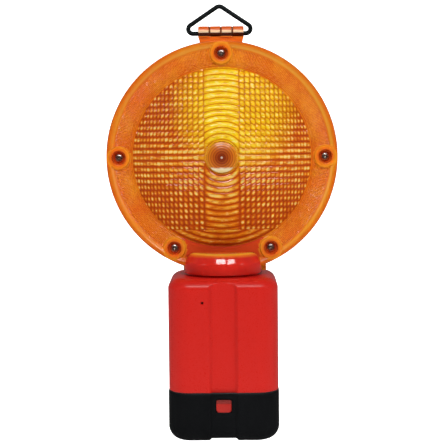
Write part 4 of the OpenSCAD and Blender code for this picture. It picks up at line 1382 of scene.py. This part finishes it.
def surround():
    """White paper round the far parts of the studio, seen by the camera only, so that it lights nothing."""
    w, front, back, rad, top, lift = 5.0, -2.6, 1.6, 0.9, 3.4, 0.002
    prof = [(front, lift), (-0.40, lift)]
    full = prof + [(back - rad, lift)]
    for t in np.linspace(0, 90, 24)[1:]:
        a = math.radians(t)
        full.append((back - rad + (rad - lift) * math.sin(a), rad - (rad - lift) * math.cos(a)))
    full.append((back - lift, top))
    verts, faces = [], []

    def strip(prof, x0, x1):
        k = len(verts)
        verts.extend((x, y, z + PAPER_Z) for y, z in prof for x in (x0, x1))
        faces.extend((k + 2 * i, k + 2 * i + 1, k + 2 * i + 3, k + 2 * i + 2) for i in range(len(prof) - 1))
    strip(prof, -0.66, 0.66)
    strip(full, 0.66, w)
    strip(full, -w, -0.66)
    k, n = len(verts), 96
    for z in (PAPER_Z, top):
        verts.extend((2.5 * math.cos(2 * math.pi * i / n), 2.5 * math.sin(2 * math.pi * i / n), z) for i in range(n))
    faces.extend((k + i, k + (i + 1) % n, k + n + (i + 1) % n, k + n + i) for i in range(n))
    me = bpy.data.meshes.new("studio_surround")
    me.from_pydata(verts, [], faces)
    o = bpy.data.objects.new("studio_surround", me)
    bpy.context.scene.collection.objects.link(o)
    M = Mat("surround_paper", Roughness=0.9)
    pale = M.mix(M.range(M.noise(3, 2), 0, 1, 0.3, 0.7), (0.96, 0.96, 0.96), (1.0, 1.0, 1.0))
    M.set("Base Color", pale)
    M.set("Emission Color", pale)
    M.p.inputs["Emission Strength"].default_value = 1.0
    me.materials.append(M.m)
    o.visible_diffuse = False
    o.visible_glossy = False
    o.visible_transmission = False
    o.visible_shadow = False
    return o


surround()


def area(name, loc, target, size, power, size_y=None, colour=(1, 1, 1)):
    d = bpy.data.lights.new(name, "AREA")
    d.shape = "RECTANGLE"
    d.size = size
    d.size_y = size_y or size
    d.energy = power
    d.color = colour
    o = bpy.data.objects.new(name, d)
    bpy.context.scene.collection.objects.link(o)
    o.location = loc
    o.rotation_euler = (Vector(target) - Vector(loc)).to_track_quat("-Z", "Y").to_euler()
    return o


area("key", (-0.145, -1.14, 1.165), (0, 0, 0.2), 0.64, 7.4, 0.155)
area("key2", (0.57, -1.07, 1.165), (0, 0, 0.2), 0.545, 5.6, 0.155)
area("fill", (0.10, -0.90, 1.42), (0, 0, 0.2), 1.6, 14.5, 0.5).visible_glossy = False
area("left", (-1.3, -0.75, 0.62), (0, 0, 0.25), 0.22, 0.8, 0.7)
area("right", (1.3, -0.75, 0.62), (0, 0, 0.25), 0.22, 1.2, 0.7)
area("back", (0, 0.70, 1.75), (0, 0.75, 0.0), 2.4, 12, 1.0).visible_glossy = False

world = bpy.data.worlds.new("studio")
bpy.context.scene.world = world
world.use_nodes = True
wt = world.node_tree
bg = wt.nodes["Background"]
tc = wt.nodes.new("ShaderNodeTexCoord")
sp = wt.nodes.new("ShaderNodeSeparateXYZ")
wt.links.new(tc.outputs["Generated"], sp.inputs[0])
mr = wt.nodes.new("ShaderNodeMapRange")
mr.interpolation_type = "SMOOTHSTEP"
mr.inputs["From Min"].default_value = -0.75
mr.inputs["From Max"].default_value = 0.25
mr.inputs["To Min"].default_value = 0.05
mr.inputs["To Max"].default_value = 0.16
wt.links.new(sp.outputs["Y"], mr.inputs["Value"])
wt.links.new(mr.outputs["Result"], bg.inputs["Strength"])
bg.inputs["Color"].default_value = (1, 1, 1, 1)

vs = bpy.context.scene.view_settings
vs.view_transform = "Standard"
vs.look = "None"
vs.exposure = 0.0
vs.gamma = 1.0
